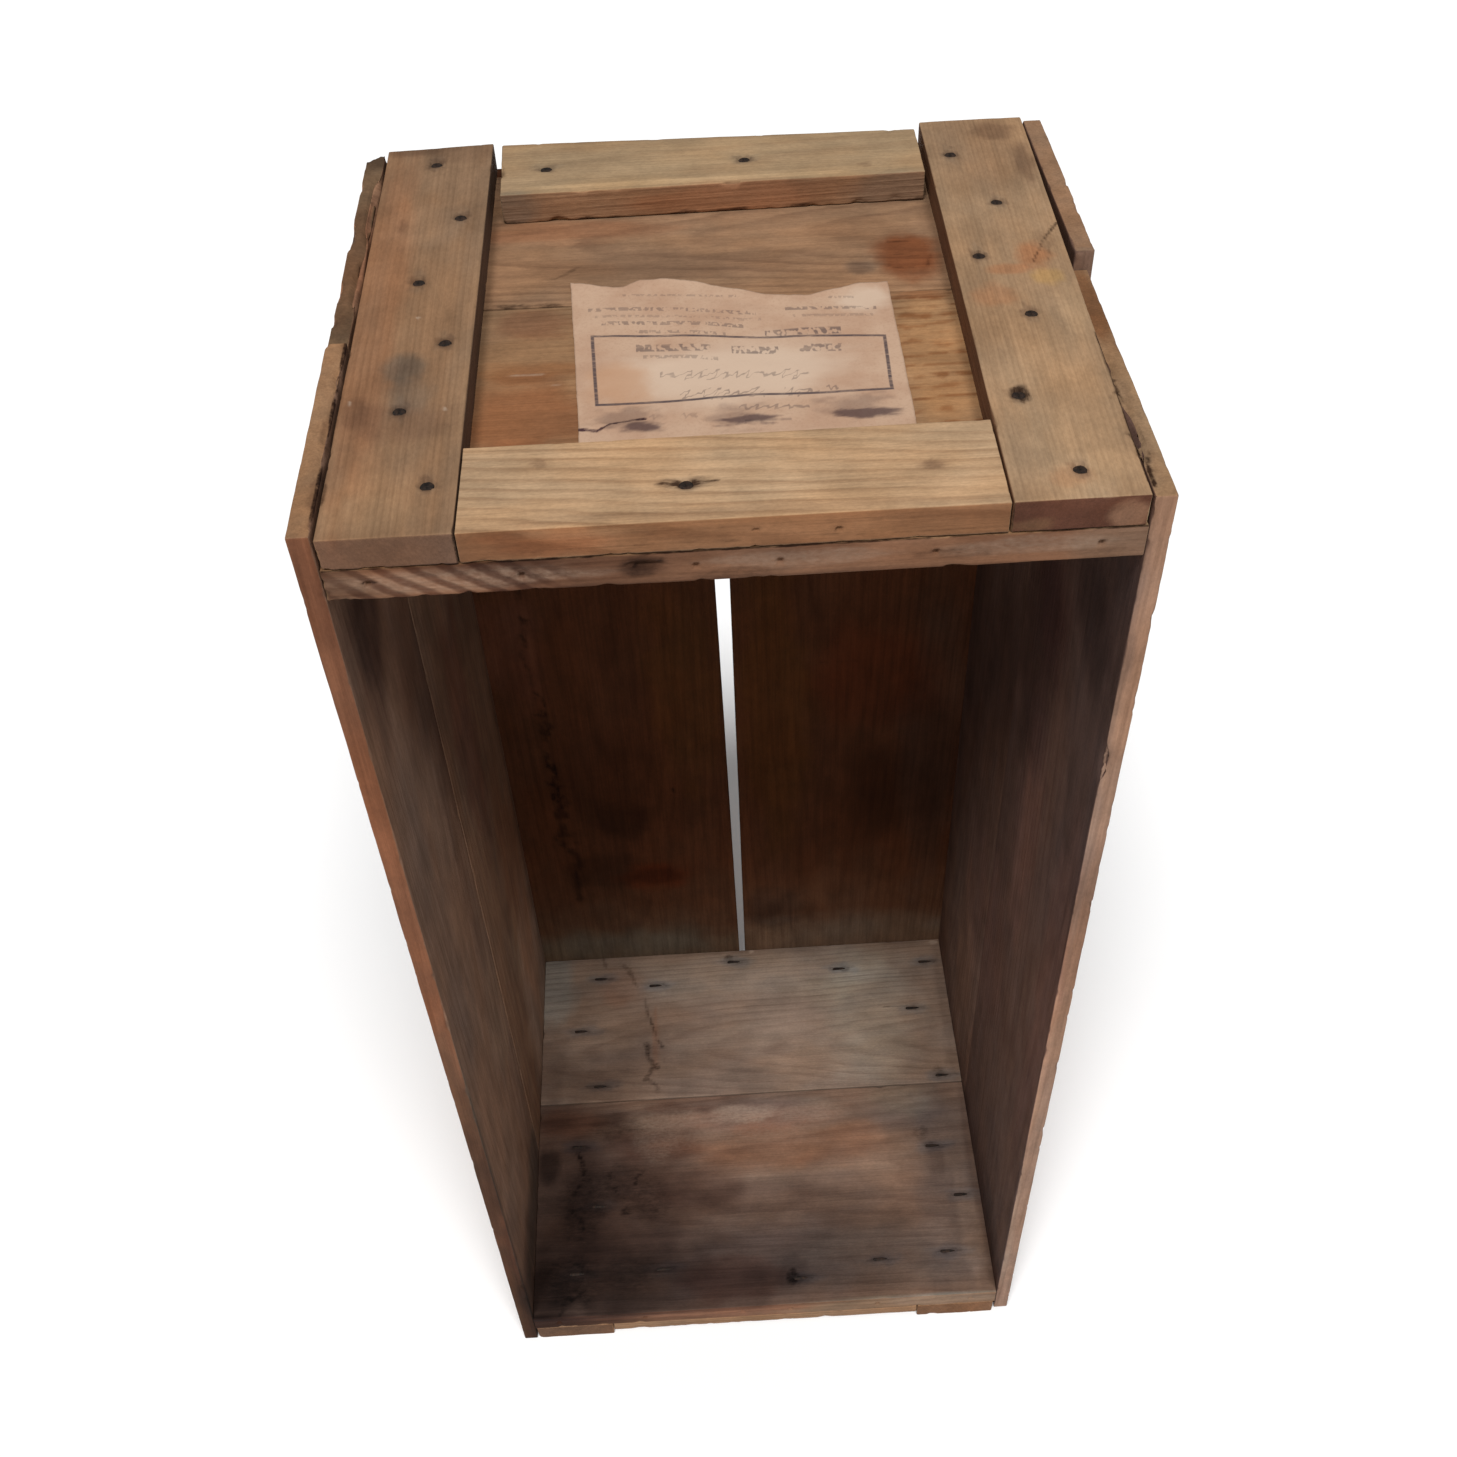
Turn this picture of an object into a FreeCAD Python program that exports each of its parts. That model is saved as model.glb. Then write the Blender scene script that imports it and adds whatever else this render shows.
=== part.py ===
import FreeCAD, Part
import os
import Sketcher

os.makedirs("parts", exist_ok=True)
doc = FreeCAD.newDocument("wooden_crate")

# A nailed wooden crate that stands on one end, with its open side towards -Y.
# Each end is a panel of two boards, stiffened outside by four cleats. Two side boards on the left and two
# on the right are nailed to the panels' edges, and two back boards close the side opposite the opening.
# Widths (x) are measured from the crate's middle plane, depths (y) from the front edge of the open side
# and heights (z) from the floor. Each body's Placement then moves it to the row's frame, whose origin is
# the centre of the crate's footprint.

DIMENSIONS = {
    "crate_width": 330,
    "crate_height": 711,
    "end_depth": 291,
    "side_stock": 9,
    "back_stock": 9,
    "panel_stock": 15,
    "cleat_stock": 15,
    "thin_cleat_stock": 9,
    # cleats
    "cleat_width": 51.5,
    "cleat_side_gap": 1,
    "butt_gap": 0.5,
    "rear_cleat_width": 43,
    "rear_cleat_inset": 3,
    "rear_cleat_gap": 4,
    # the upper cleats are cut and set unevenly, and run out over the back boards
    "left_cleat_outer_overhang": 3,
    "left_cleat_inner_overhang": 5.5,
    "right_cleat_overhang": 4,
    "right_cleat_lean": 0.8,
    "right_cleat_taper": 1.2,
    "upper_rear_cleat_left_gap": 5.5,
    "upper_rear_cleat_right_gap": 0.8,
    "upper_rear_cleat_overhang": 3.5,
    "upper_rear_cleat_inset": 2.5,
    "upper_rear_cleat_skew": 1.5,
    # joints between neighbouring boards
    "joint_gap": 0.6,
    "top_joint_left": 173,
    "top_joint_right": 168,
    "bottom_joint": 162,
    "left_joint": 126.5,
    "right_joint_low": 150,
    "right_joint_high": 169,
    # side boards that are cut long, short or sprung off the ends
    "left_overrun": 2,
    "broken_corner": 12,
    "right_underrun": 6,
    "right_front_drop": 1,
    "right_joint_drop": 9,
    "splay": 2.6,
    # tapering gap between the back boards
    "gap_left_high": 9.2,
    "gap_right_high": 3.2,
    "gap_left_low": 2,
    "gap_right_low": 2.2,
    # nails
    "nail_shank": 2.6,
    "nail_head": 5.4,
    "nail_head_depth": 1.5,
    "nail_head_height": 1.2,
    "nail_clearance": 0.2,
    "nail_length": 30,
    "nail_tip_length": 12,
    "nail_tip_height": 1.6,
    "nail_stagger": 7.5,
    "lid_nail_hole": 2,
    "lid_nail_depth": 12,
    # paper label
    "label_height": 0.3,
    "label_width": 137,
    "label_front": 56,
    "label_rear_left": 191,
    "label_rear_right": 177,
    "label_left_front": 59,
    "label_left_rear": 65,
}

sheet = doc.addObject("Spreadsheet::Sheet", "Sizes")
for row, (alias, value) in enumerate(DIMENSIONS.items(), start=1):
    sheet.set(f"A{row}", alias)
    sheet.set(f"B{row}", str(value))
    sheet.setAlias(f"B{row}", alias)
doc.recompute()

# Expressions that several pieces share.
WIDE = "Sizes.crate_width / 2"
INSIDE = "(Sizes.crate_width / 2 - Sizes.side_stock)"
TALL = "Sizes.crate_height"
DEEP = "Sizes.end_depth"
HALF_JOINT = "Sizes.joint_gap / 2"
CLEAT_OUT = f"({INSIDE} - Sizes.cleat_side_gap)"
CLEAT_IN = f"({CLEAT_OUT} - Sizes.cleat_width)"
LOW_PANEL = "Sizes.cleat_stock"
HIGH_PANEL = "(Sizes.crate_height - Sizes.cleat_stock - Sizes.panel_stock)"
LOW_PANEL_MIDDLE = "Sizes.cleat_stock + Sizes.panel_stock / 2"
HIGH_PANEL_MIDDLE = f"{HIGH_PANEL} + Sizes.panel_stock / 2"
THIN_CLEAT_BASE = "(Sizes.cleat_stock - Sizes.thin_cleat_stock)"
SIDE_FLOOR = f"({WIDE} - Sizes.nail_head_depth)"
BACK_FLOOR = f"-({DEEP} + Sizes.back_stock - Sizes.nail_head_depth)"
HOLE = "(Sizes.nail_shank + Sizes.nail_clearance) / 2"
RECESS = "(Sizes.nail_head + Sizes.nail_clearance) / 2"


def evaluate(expression):
    """The value, in mm, of an expression over the sheet's cells."""
    result = sheet.evalExpression(expression)
    return float(getattr(result, "Value", result))


def new_body(label):
    """A body with its Label and the Placement that takes it to the row's frame."""
    body = doc.addObject("PartDesign::Body", label)
    body.Label = label
    body.AllowCompound = True
    body.setExpression("Placement.Base.x", "-Sizes.splay / 2")
    body.setExpression("Placement.Base.y", "-(Sizes.end_depth + Sizes.back_stock) / 2")
    return body


def new_sketch(body, name, role, offset):
    """A sketch parallel to one of the body's origin planes, at an offset along that plane's normal."""
    sketch = body.newObject("Sketcher::SketchObject", f"{body.Name}_{name}")
    plane = next(feature for feature in body.Origin.OriginFeatures if feature.Role == role)
    sketch.AttachmentSupport = [(plane, "")]
    sketch.MapMode = "FlatFace"
    sketch.setExpression("AttachmentOffset.Base.z", offset)
    return sketch


def pin_point(sketch, geometry, point, place):
    """Ties a point of the sketch to a pair of expressions, or to an axis where one of them is zero."""
    for kind, axis, expression in (("DistanceX", -2, place[0]), ("DistanceY", -1, place[1])):
        value = evaluate(expression)
        if abs(value) < 1e-9:
            sketch.addConstraint(Sketcher.Constraint("PointOnObject", geometry, point, axis))
            continue
        index = sketch.addConstraint(Sketcher.Constraint(kind, -1, 1, geometry, point, value))
        sketch.setExpression(f"Constraints[{index}]", expression)


def draw_polygon(sketch, corners):
    """A closed outline through corners, each a pair of expressions."""
    places = [FreeCAD.Vector(evaluate(u), evaluate(v), 0) for u, v in corners]
    first = sketch.GeometryCount
    for start, end in zip(places, places[1:] + places[:1]):
        sketch.addGeometry(Part.LineSegment(start, end))
    count = len(corners)
    for step in range(count):
        following = first + (step + 1) % count
        sketch.addConstraint(Sketcher.Constraint("Coincident", first + step, 2, following, 1))
    for step, corner in enumerate(corners):
        pin_point(sketch, first + step, 1, corner)


def draw_circles(sketch, centres, radius):
    """One circle of the given radius at each centre."""
    for centre in centres:
        middle = FreeCAD.Vector(evaluate(centre[0]), evaluate(centre[1]), 0)
        circle = Part.Circle(middle, FreeCAD.Vector(0, 0, 1), evaluate(radius))
        geometry = sketch.addGeometry(circle)
        index = sketch.addConstraint(Sketcher.Constraint("Radius", geometry, evaluate(radius)))
        sketch.setExpression(f"Constraints[{index}]", radius)
        pin_point(sketch, geometry, 3, centre)


def pad(body, sketch, length, along_normal=True):
    """Raises the sketch's outlines by a length, along the plane's normal or against it."""
    feature = body.newObject("PartDesign::Pad", f"{sketch.Name}_pad")
    feature.Profile = sketch
    feature.setExpression("Length", length)
    feature.Reversed = not along_normal
    sketch.Visibility = False
    return feature


def drill(body, name, role, offset, centres, radius, along_normal, depth=None):
    """Round holes from a plane, through the rest of the board unless a depth is given."""
    if not centres:
        return
    sketch = new_sketch(body, name, role, offset)
    draw_circles(sketch, centres, radius)
    pocket = body.newObject("PartDesign::Pocket", f"{sketch.Name}_pocket")
    pocket.Profile = sketch
    if depth is None:
        pocket.Type = "ThroughAll"
    else:
        pocket.setExpression("Length", depth)
    pocket.Reversed = along_normal
    sketch.Visibility = False


def board(label, role, offset, stock, corners, along_normal=True):
    """A flat board: its outline on a plane, raised by its thickness."""
    body = new_body(label)
    sketch = new_sketch(body, "outline", role, offset)
    draw_polygon(sketch, corners)
    pad(body, sketch, stock, along_normal)
    return body


def rectangle(low_u, high_u, low_v, high_v):
    """The four corners of an upright rectangle."""
    return [(low_u, low_v), (high_u, low_v), (high_u, high_v), (low_u, high_v)]


# ---- nail places -----------------------------------------------------------------------------------
# The long cleats' nails zigzag between two lines, either side of the cleat's middle. Each row gives the
# depths of its nails, front to back, and says which line the first one is on.

ZIGZAG_ROWS = {
    "top_left": ("-123", 1, (30, 79, 126, 174, 228, 279)),
    "top_right": ("124", 1, (18, 67, 124, 171, 216, 262)),
    "bottom_left": ("-124", -1, (30, 79, 126, 175, 224, 271)),
    "bottom_right": ("130", -1, (31, 72, 111, 168, 228, 270)),
}

# The short cleats have three nails each, as (x, y).
SHORT_ROWS = {
    "top_front": ((-73, 39), (-17, 22), (77, 25)),
    "top_rear": ((-77, 269), (18, 268), (75, 256)),
    "bottom_front": ((-72, 30), (21, 18), (76, 28)),
    "bottom_rear": ((-74, 262), (-12, 280), (70, 268)),
}

LEFT_NAIL_DEPTHS = {"left_side_front_board": (18, 104), "left_side_rear_board": (150, 254)}
RIGHT_NAIL_DEPTHS = {"right_side_front_board": (12, 138), "right_side_rear_board": (192, 250)}
BACK_NAIL_PLACES = {"back_left_board": (-148, -92, -30), "back_right_board": (28, 94, 146)}
LID_NAIL_PLACES = (-139, -81, -15, 17, 76, 139)


def zigzag(line, first_side, depths):
    """Nail places along a cleat, alternately on one side of its middle line and the other."""
    places = []
    side = first_side
    for depth in depths:
        sign = "+" if side > 0 else "-"
        places.append((f"{line} {sign} Sizes.nail_stagger", str(depth)))
        side = -side
    return places


CLEAT_NAILS = {name: zigzag(*row) for name, row in ZIGZAG_ROWS.items()}
for name, row in SHORT_ROWS.items():
    CLEAT_NAILS[name] = [(str(across), str(depth)) for across, depth in row]


def side_nails(depths):
    """Nail places on a side board, as (y, z): at each depth, one into either end panel's edge."""
    heights = (LOW_PANEL_MIDDLE, HIGH_PANEL_MIDDLE)
    return [(str(depth), height) for height in heights for depth in depths]


def nails_between(end, low, high):
    """The cleat nails of one end that pass through a panel board between two depths."""
    reach = evaluate(HOLE)
    places = [place for name, row in CLEAT_NAILS.items() if name.startswith(end) for place in row]
    return [place for place in places if low - reach < float(place[1]) < high + reach]


# ---- end panels ------------------------------------------------------------------------------------

def end_panel(end, base, joint_left, joint_right):
    """The front and the rear board of one end panel, drilled for the cleats' nails."""
    front_corners = [
        (f"-{INSIDE}", "0"),
        (INSIDE, "0"),
        (INSIDE, f"{joint_right} - {HALF_JOINT}"),
        (f"-{INSIDE}", f"{joint_left} - {HALF_JOINT}"),
    ]
    rear_corners = [
        (f"-{INSIDE}", f"{joint_left} + {HALF_JOINT}"),
        (INSIDE, f"{joint_right} + {HALF_JOINT}"),
        (INSIDE, DEEP),
        (f"-{INSIDE}", DEEP),
    ]
    middle = (evaluate(joint_left) + evaluate(joint_right)) / 2
    front = board(f"{end}_panel_front", "XY_Plane", base, "Sizes.panel_stock", front_corners)
    rear = board(f"{end}_panel_rear", "XY_Plane", base, "Sizes.panel_stock", rear_corners)
    slack = abs(evaluate(joint_left) - evaluate(joint_right)) / 2
    for body, low, high in ((front, 0, middle + slack), (rear, middle - slack, evaluate(DEEP))):
        drill(body, "nail_holes", "XY_Plane", base, nails_between(end, low, high), HOLE, True)
    # side and back boards are nailed into the panel's edges, at half its thickness
    height = f"{base} + Sizes.panel_stock / 2"
    for side, depths in (("left", LEFT_NAIL_DEPTHS), ("right", RIGHT_NAIL_DEPTHS)):
        rightward = side == "right"
        tip = f"{SIDE_FLOOR} - Sizes.nail_length"
        start = tip if rightward else f"-({tip})"
        for body, low, high in ((front, 0, middle), (rear, middle, evaluate(DEEP))):
            rows = [depth for row in depths.values() for depth in row if low < depth < high]
            centres = [(str(depth), height) for depth in rows]
            drill(body, f"{side}_edge_holes", "YZ_Plane", start, centres, HOLE, rightward)
    back_places = [place for row in BACK_NAIL_PLACES.values() for place in row]
    back_start = f"{BACK_FLOOR} + Sizes.nail_length"
    centres = [(str(place), height) for place in back_places]
    drill(rear, "back_edge_holes", "XZ_Plane", back_start, centres, HOLE, False)
    # holes that the missing lid's nails left in the front edge
    centres = [(str(place), height) for place in LID_NAIL_PLACES]
    radius = "Sizes.lid_nail_hole / 2"
    drill(front, "lid_holes", "XZ_Plane", "0", centres, radius, False, "Sizes.lid_nail_depth")


end_panel("top", HIGH_PANEL, "Sizes.top_joint_left", "Sizes.top_joint_right")
end_panel("bottom", LOW_PANEL, "Sizes.bottom_joint", "Sizes.bottom_joint")


# ---- cleats ----------------------------------------------------------------------------------------

def cleat(end, side, base, stock, corners):
    """A cleat on the outside of an end panel, with its nail holes and the recesses of their heads."""
    body = board(f"{end}_{side}_cleat", "XY_Plane", base, stock, corners)
    nails = CLEAT_NAILS[f"{end}_{side}"]
    upper = end == "top"
    recess_floor = f"{TALL} - Sizes.nail_head_depth" if upper else f"{base} + Sizes.nail_head_depth"
    drill(body, "nail_holes", "XY_Plane", base, nails, HOLE, True)
    drill(body, "head_recesses", "XY_Plane", recess_floor, nails, RECESS, upper)


SHORT_CLEAT_END = f"({CLEAT_IN} - Sizes.butt_gap)"
REAR_CLEAT_BACK = f"({DEEP} - Sizes.rear_cleat_inset)"
REAR_CLEAT_FRONT = f"({REAR_CLEAT_BACK} - Sizes.rear_cleat_width)"
FRONT_CLEAT = rectangle(f"-{SHORT_CLEAT_END}", SHORT_CLEAT_END, "0", "Sizes.cleat_width")
LOWER_CLEATS = {
    "left": rectangle(f"-{CLEAT_OUT}", f"-{CLEAT_IN}", "0", DEEP),
    "right": rectangle(CLEAT_IN, CLEAT_OUT, "0", DEEP),
    "front": FRONT_CLEAT,
    "rear": rectangle(
        f"-({CLEAT_IN} - Sizes.rear_cleat_gap)",
        f"{CLEAT_IN} - Sizes.rear_cleat_gap / 2",
        REAR_CLEAT_FRONT,
        REAR_CLEAT_BACK,
    ),
}
RIGHT_CLEAT_BACK = f"{DEEP} + Sizes.right_cleat_overhang"
UPPER_CLEATS = {
    "left": [
        (f"-{CLEAT_OUT}", "0"),
        (f"-{CLEAT_IN}", "0"),
        (f"-{CLEAT_IN}", f"{DEEP} + Sizes.left_cleat_inner_overhang"),
        (f"-{CLEAT_OUT}", f"{DEEP} + Sizes.left_cleat_outer_overhang"),
    ],
    "right": [
        (CLEAT_IN, "0"),
        (CLEAT_OUT, "0"),
        (f"{CLEAT_OUT} + Sizes.right_cleat_lean", RIGHT_CLEAT_BACK),
        (f"{CLEAT_IN} + Sizes.right_cleat_lean + Sizes.right_cleat_taper", RIGHT_CLEAT_BACK),
    ],
    "front": FRONT_CLEAT,
    "rear": [
        (f"-({CLEAT_IN} - Sizes.upper_rear_cleat_left_gap)", REAR_CLEAT_FRONT),
        (f"{CLEAT_IN} - Sizes.upper_rear_cleat_right_gap",
         f"{REAR_CLEAT_FRONT} + Sizes.upper_rear_cleat_skew"),
        (f"{CLEAT_IN} - Sizes.upper_rear_cleat_right_gap", f"{DEEP} - Sizes.upper_rear_cleat_inset"),
        (f"-({CLEAT_IN} - Sizes.rear_cleat_gap)", f"{DEEP} + Sizes.upper_rear_cleat_overhang"),
    ],
}
for side in ("left", "right", "front", "rear"):
    cleat("top", side, f"{TALL} - Sizes.cleat_stock", "Sizes.cleat_stock", UPPER_CLEATS[side])
    if side in ("left", "right"):
        cleat("bottom", side, "0", "Sizes.cleat_stock", LOWER_CLEATS[side])
    else:
        cleat("bottom", side, THIN_CLEAT_BASE, "Sizes.thin_cleat_stock", LOWER_CLEATS[side])


# ---- side boards -----------------------------------------------------------------------------------

def drill_side_board(body, depths, rightward):
    """The nail holes of a side board, and the recesses of the heads in its outer face."""
    centres = side_nails(depths)
    inner = INSIDE if rightward else f"-{INSIDE}"
    floor = SIDE_FLOOR if rightward else f"-{SIDE_FLOOR}"
    drill(body, "nail_holes", "YZ_Plane", inner, centres, HOLE, rightward)
    drill(body, "head_recesses", "YZ_Plane", floor, centres, RECESS, rightward)


LEFT_SIDE_OUTLINES = {
    "left_side_front_board": rectangle(
        "0", f"Sizes.left_joint - {HALF_JOINT}", "0", f"{TALL} + Sizes.left_overrun"
    ),
    "left_side_rear_board": [
        (f"Sizes.left_joint + {HALF_JOINT}", "0"),
        (DEEP, "0"),
        (DEEP, f"{TALL} - Sizes.broken_corner"),
        (f"{DEEP} - Sizes.broken_corner / 2", TALL),
        (f"Sizes.left_joint + {HALF_JOINT}", TALL),
    ],
}
for label, outline in LEFT_SIDE_OUTLINES.items():
    left_board = board(label, "YZ_Plane", f"-{WIDE}", "Sizes.side_stock", outline)
    drill_side_board(left_board, LEFT_NAIL_DEPTHS[label], False)

# The right front board stops short of the floor, and its upper end slopes down towards the joint.
right_front_outline = [
    ("0", "Sizes.right_underrun"),
    (f"Sizes.right_joint_low - {HALF_JOINT}", "Sizes.right_underrun"),
    (f"Sizes.right_joint_high - {HALF_JOINT}", f"{TALL} - Sizes.right_joint_drop"),
    ("0", f"{TALL} - Sizes.right_front_drop"),
]
right_front = board("right_side_front_board", "YZ_Plane", INSIDE, "Sizes.side_stock", right_front_outline)
drill_side_board(right_front, RIGHT_NAIL_DEPTHS["right_side_front_board"], True)

# The right rear board is twisted: it lies flat on the lower end, and the front edge of its upper end has
# sprung outwards.
right_rear = new_body("right_side_rear_board")
foot = new_sketch(right_rear, "foot", "XY_Plane", "0")
foot_front = f"Sizes.right_joint_low + {HALF_JOINT}"
draw_polygon(foot, rectangle(INSIDE, WIDE, foot_front, DEEP))
head = new_sketch(right_rear, "head", "XY_Plane", TALL)
head_front = f"Sizes.right_joint_high + {HALF_JOINT}"
head_corners = [
    (f"{INSIDE} + Sizes.splay", head_front),
    (f"{WIDE} + Sizes.splay", head_front),
    (WIDE, DEEP),
    (INSIDE, DEEP),
]
draw_polygon(head, head_corners)
twisted = right_rear.newObject("PartDesign::AdditiveLoft", "right_rear_loft")
twisted.Profile = foot
twisted.Sections = [head]
twisted.Ruled = True
drill_side_board(right_rear, RIGHT_NAIL_DEPTHS["right_side_rear_board"], True)


# ---- back boards -----------------------------------------------------------------------------------

BACK_BASE = LOW_PANEL
BACK_TOP = f"({HIGH_PANEL} + Sizes.panel_stock)"
BACK_OUTLINES = {
    "back_left_board": [
        (f"-{WIDE}", BACK_BASE),
        ("-Sizes.gap_left_low", BACK_BASE),
        ("-Sizes.gap_left_high", BACK_TOP),
        (f"-{WIDE}", BACK_TOP),
    ],
    "back_right_board": [
        ("Sizes.gap_right_low", BACK_BASE),
        (WIDE, BACK_BASE),
        (WIDE, BACK_TOP),
        ("Sizes.gap_right_high", BACK_TOP),
    ],
}
for label, outline in BACK_OUTLINES.items():
    back_board = board(label, "XZ_Plane", f"-{DEEP}", "Sizes.back_stock", outline, along_normal=False)
    centres = [(str(place), height) for place in BACK_NAIL_PLACES[label]
               for height in (LOW_PANEL_MIDDLE, HIGH_PANEL_MIDDLE)]
    drill(back_board, "nail_holes", "XZ_Plane", f"-{DEEP}", centres, HOLE, False)
    drill(back_board, "head_recesses", "XZ_Plane", BACK_FLOOR, centres, RECESS, False)


# ---- nails -----------------------------------------------------------------------------------------

def nail_group(label, role, floor, centres, head_along_normal, length):
    """Separate nails with their heads on the recess floors and their shanks going into the wood."""
    body = new_body(label)
    heads = new_sketch(body, "heads", role, floor)
    draw_circles(heads, centres, "Sizes.nail_head / 2")
    pad(body, heads, "Sizes.nail_head_height", head_along_normal)
    shanks = new_sketch(body, "shanks", role, floor)
    draw_circles(shanks, centres, "Sizes.nail_shank / 2")
    pad(body, shanks, length, not head_along_normal)
    return body


def clinched_group(end, side, base):
    """A cleat's nails, whose tips come through the panel and are bent over along its grain."""
    upper = end == "top"
    outer = TALL if upper else base
    inner = HIGH_PANEL if upper else f"({LOW_PANEL} + Sizes.panel_stock)"
    floor = f"{outer} - Sizes.nail_head_depth" if upper else f"{base} + Sizes.nail_head_depth"
    length = f"{floor} - {inner}" if upper else f"{inner} - ({floor})"
    nails = CLEAT_NAILS[f"{end}_{side}"]
    body = nail_group(f"{end}_{side}_cleat_nails", "XY_Plane", floor, nails, upper, length)
    tips = new_sketch(body, "tips", "XY_Plane", inner)
    half = "Sizes.nail_shank / 2"
    for across, depth in nails:
        shoulder = f"{across} + Sizes.nail_tip_length * 0.6"
        draw_polygon(tips, [
            (f"{across} - {half}", f"{depth} - {half}"),
            (shoulder, f"{depth} - {half}"),
            (f"{across} + Sizes.nail_tip_length", depth),
            (shoulder, f"{depth} + {half}"),
            (f"{across} - {half}", f"{depth} + {half}"),
        ])
    pad(body, tips, "Sizes.nail_tip_height", not upper)


for end in ("top", "bottom"):
    for side in UPPER_CLEATS:
        thin = end == "bottom" and side in ("front", "rear")
        clinched_group(end, side, THIN_CLEAT_BASE if thin else "0")

left_places = [place for depths in LEFT_NAIL_DEPTHS.values() for place in side_nails(depths)]
right_places = [place for depths in RIGHT_NAIL_DEPTHS.values() for place in side_nails(depths)]
back_places = [(str(place), height) for row in BACK_NAIL_PLACES.values() for place in row
               for height in (LOW_PANEL_MIDDLE, HIGH_PANEL_MIDDLE)]
nail_group("left_side_nails", "YZ_Plane", f"-{SIDE_FLOOR}", left_places, False, "Sizes.nail_length")
nail_group("right_side_nails", "YZ_Plane", SIDE_FLOOR, right_places, True, "Sizes.nail_length")
nail_group("back_nails", "XZ_Plane", BACK_FLOOR, back_places, False, "Sizes.nail_length")


# ---- paper label -----------------------------------------------------------------------------------

label_corners = [
    ("-Sizes.label_left_front", "Sizes.label_front"),
    ("Sizes.label_width - Sizes.label_left_front", "Sizes.label_front"),
    ("Sizes.label_width - Sizes.label_left_front", "Sizes.label_rear_right"),
    ("-Sizes.label_left_rear", "Sizes.label_rear_left"),
]
board("paper_label", "XY_Plane", f"{HIGH_PANEL} + Sizes.panel_stock", "Sizes.label_height", label_corners)


# ---- checks and export -----------------------------------------------------------------------------

doc.recompute()

for item in doc.Objects:
    if "Invalid" in item.State or "Error" in item.State:
        raise RuntimeError(f"{item.Name} failed: {item.State}")
    if item.TypeId == "PartDesign::Pocket":
        removed = item.BaseFeature.Shape.Volume - item.Shape.Volume
        if removed <= 0:
            raise RuntimeError(f"{item.Name} cuts nothing")

for body in doc.findObjects("PartDesign::Body"):
    shape = body.Shape
    if shape.isNull() or not shape.isValid():
        raise RuntimeError(f"{body.Label} has no valid shape")
    shape.exportStep(f"parts/{body.Label}.step")
    print(f"{body.Label}: {len(shape.Solids)} solid(s), {shape.Volume / 1000:.1f} cm3")
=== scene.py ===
import bpy
import numpy as np
from mathutils import Euler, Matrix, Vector


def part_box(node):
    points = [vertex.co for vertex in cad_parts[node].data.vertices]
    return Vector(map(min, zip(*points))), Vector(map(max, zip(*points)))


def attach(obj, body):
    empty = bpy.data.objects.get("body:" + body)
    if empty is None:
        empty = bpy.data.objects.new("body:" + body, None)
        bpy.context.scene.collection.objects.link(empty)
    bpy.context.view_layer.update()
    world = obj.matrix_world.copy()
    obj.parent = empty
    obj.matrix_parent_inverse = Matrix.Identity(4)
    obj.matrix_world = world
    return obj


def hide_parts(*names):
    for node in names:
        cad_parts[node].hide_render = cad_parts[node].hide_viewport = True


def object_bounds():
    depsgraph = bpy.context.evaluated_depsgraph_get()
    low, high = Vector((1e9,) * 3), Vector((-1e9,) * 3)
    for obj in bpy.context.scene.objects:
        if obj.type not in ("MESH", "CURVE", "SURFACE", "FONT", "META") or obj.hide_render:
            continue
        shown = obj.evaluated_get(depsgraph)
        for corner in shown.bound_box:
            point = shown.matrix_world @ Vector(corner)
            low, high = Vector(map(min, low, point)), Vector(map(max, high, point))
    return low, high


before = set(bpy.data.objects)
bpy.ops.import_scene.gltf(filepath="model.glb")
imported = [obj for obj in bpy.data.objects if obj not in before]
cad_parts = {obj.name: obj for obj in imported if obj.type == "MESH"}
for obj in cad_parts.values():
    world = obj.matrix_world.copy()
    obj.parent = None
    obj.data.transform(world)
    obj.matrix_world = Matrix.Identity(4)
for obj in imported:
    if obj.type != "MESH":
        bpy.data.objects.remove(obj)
cad_low, cad_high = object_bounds()

# Places on the crate are given in millimetres: across from its middle plane (x), back from the front edge
# of its open side (y) and up from the floor (z).
MM = 0.001
panel_low, panel_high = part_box("top_panel_front")
CRATE_ZERO = np.array([(panel_low.x + panel_high.x) / 2, cad_low.y, 0])
ENDS = ("top", "bottom")
AXES = {"x": 0, "y": 1, "z": 2}
TOWARDS = {
    "left": (-1, 0, 0), "right": (1, 0, 0), "front": (0, -1, 0),
    "rear": (0, 1, 0), "down": (0, 0, -1), "up": (0, 0, 1),
}


# ---- noise and masks ---------------------------------------------------------------------------------

def lattice_value(cells, seed):
    """A fixed pseudo-random value from -1 to 1 for each whole-number cell."""
    whole = cells.astype(np.int64).astype(np.uint64)
    key = whole[:, 0] * np.uint64(73856093)
    key ^= whole[:, 1] * np.uint64(19349663)
    key ^= whole[:, 2] * np.uint64(83492791)
    key ^= np.uint64(seed * 2654435761)
    key = (key ^ (key >> np.uint64(13))) * np.uint64(1274126177)
    key ^= key >> np.uint64(16)
    return (key & np.uint64(0xFFFFFF)).astype(float) / 0x7FFFFF - 1


def smooth_noise(points, size, seed, octaves=3):
    """Layered value noise from about -1 to 1. size is the width of its blobs along each axis."""
    places = points / np.asarray(size, float)
    total = np.zeros(len(points))
    weight = 1.0
    weights = 0.0
    for octave in range(octaves):
        base = np.floor(places)
        part = places - base
        part = part * part * (3 - 2 * part)
        for corner in np.ndindex(2, 2, 2):
            share = np.prod(np.where(np.array(corner), part, 1 - part), axis=1)
            total += weight * share * lattice_value(base + corner, seed + 31 * octave)
        weights += weight
        weight *= 0.5
        places = places * 2 + 17.3
    return total / weights


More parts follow.
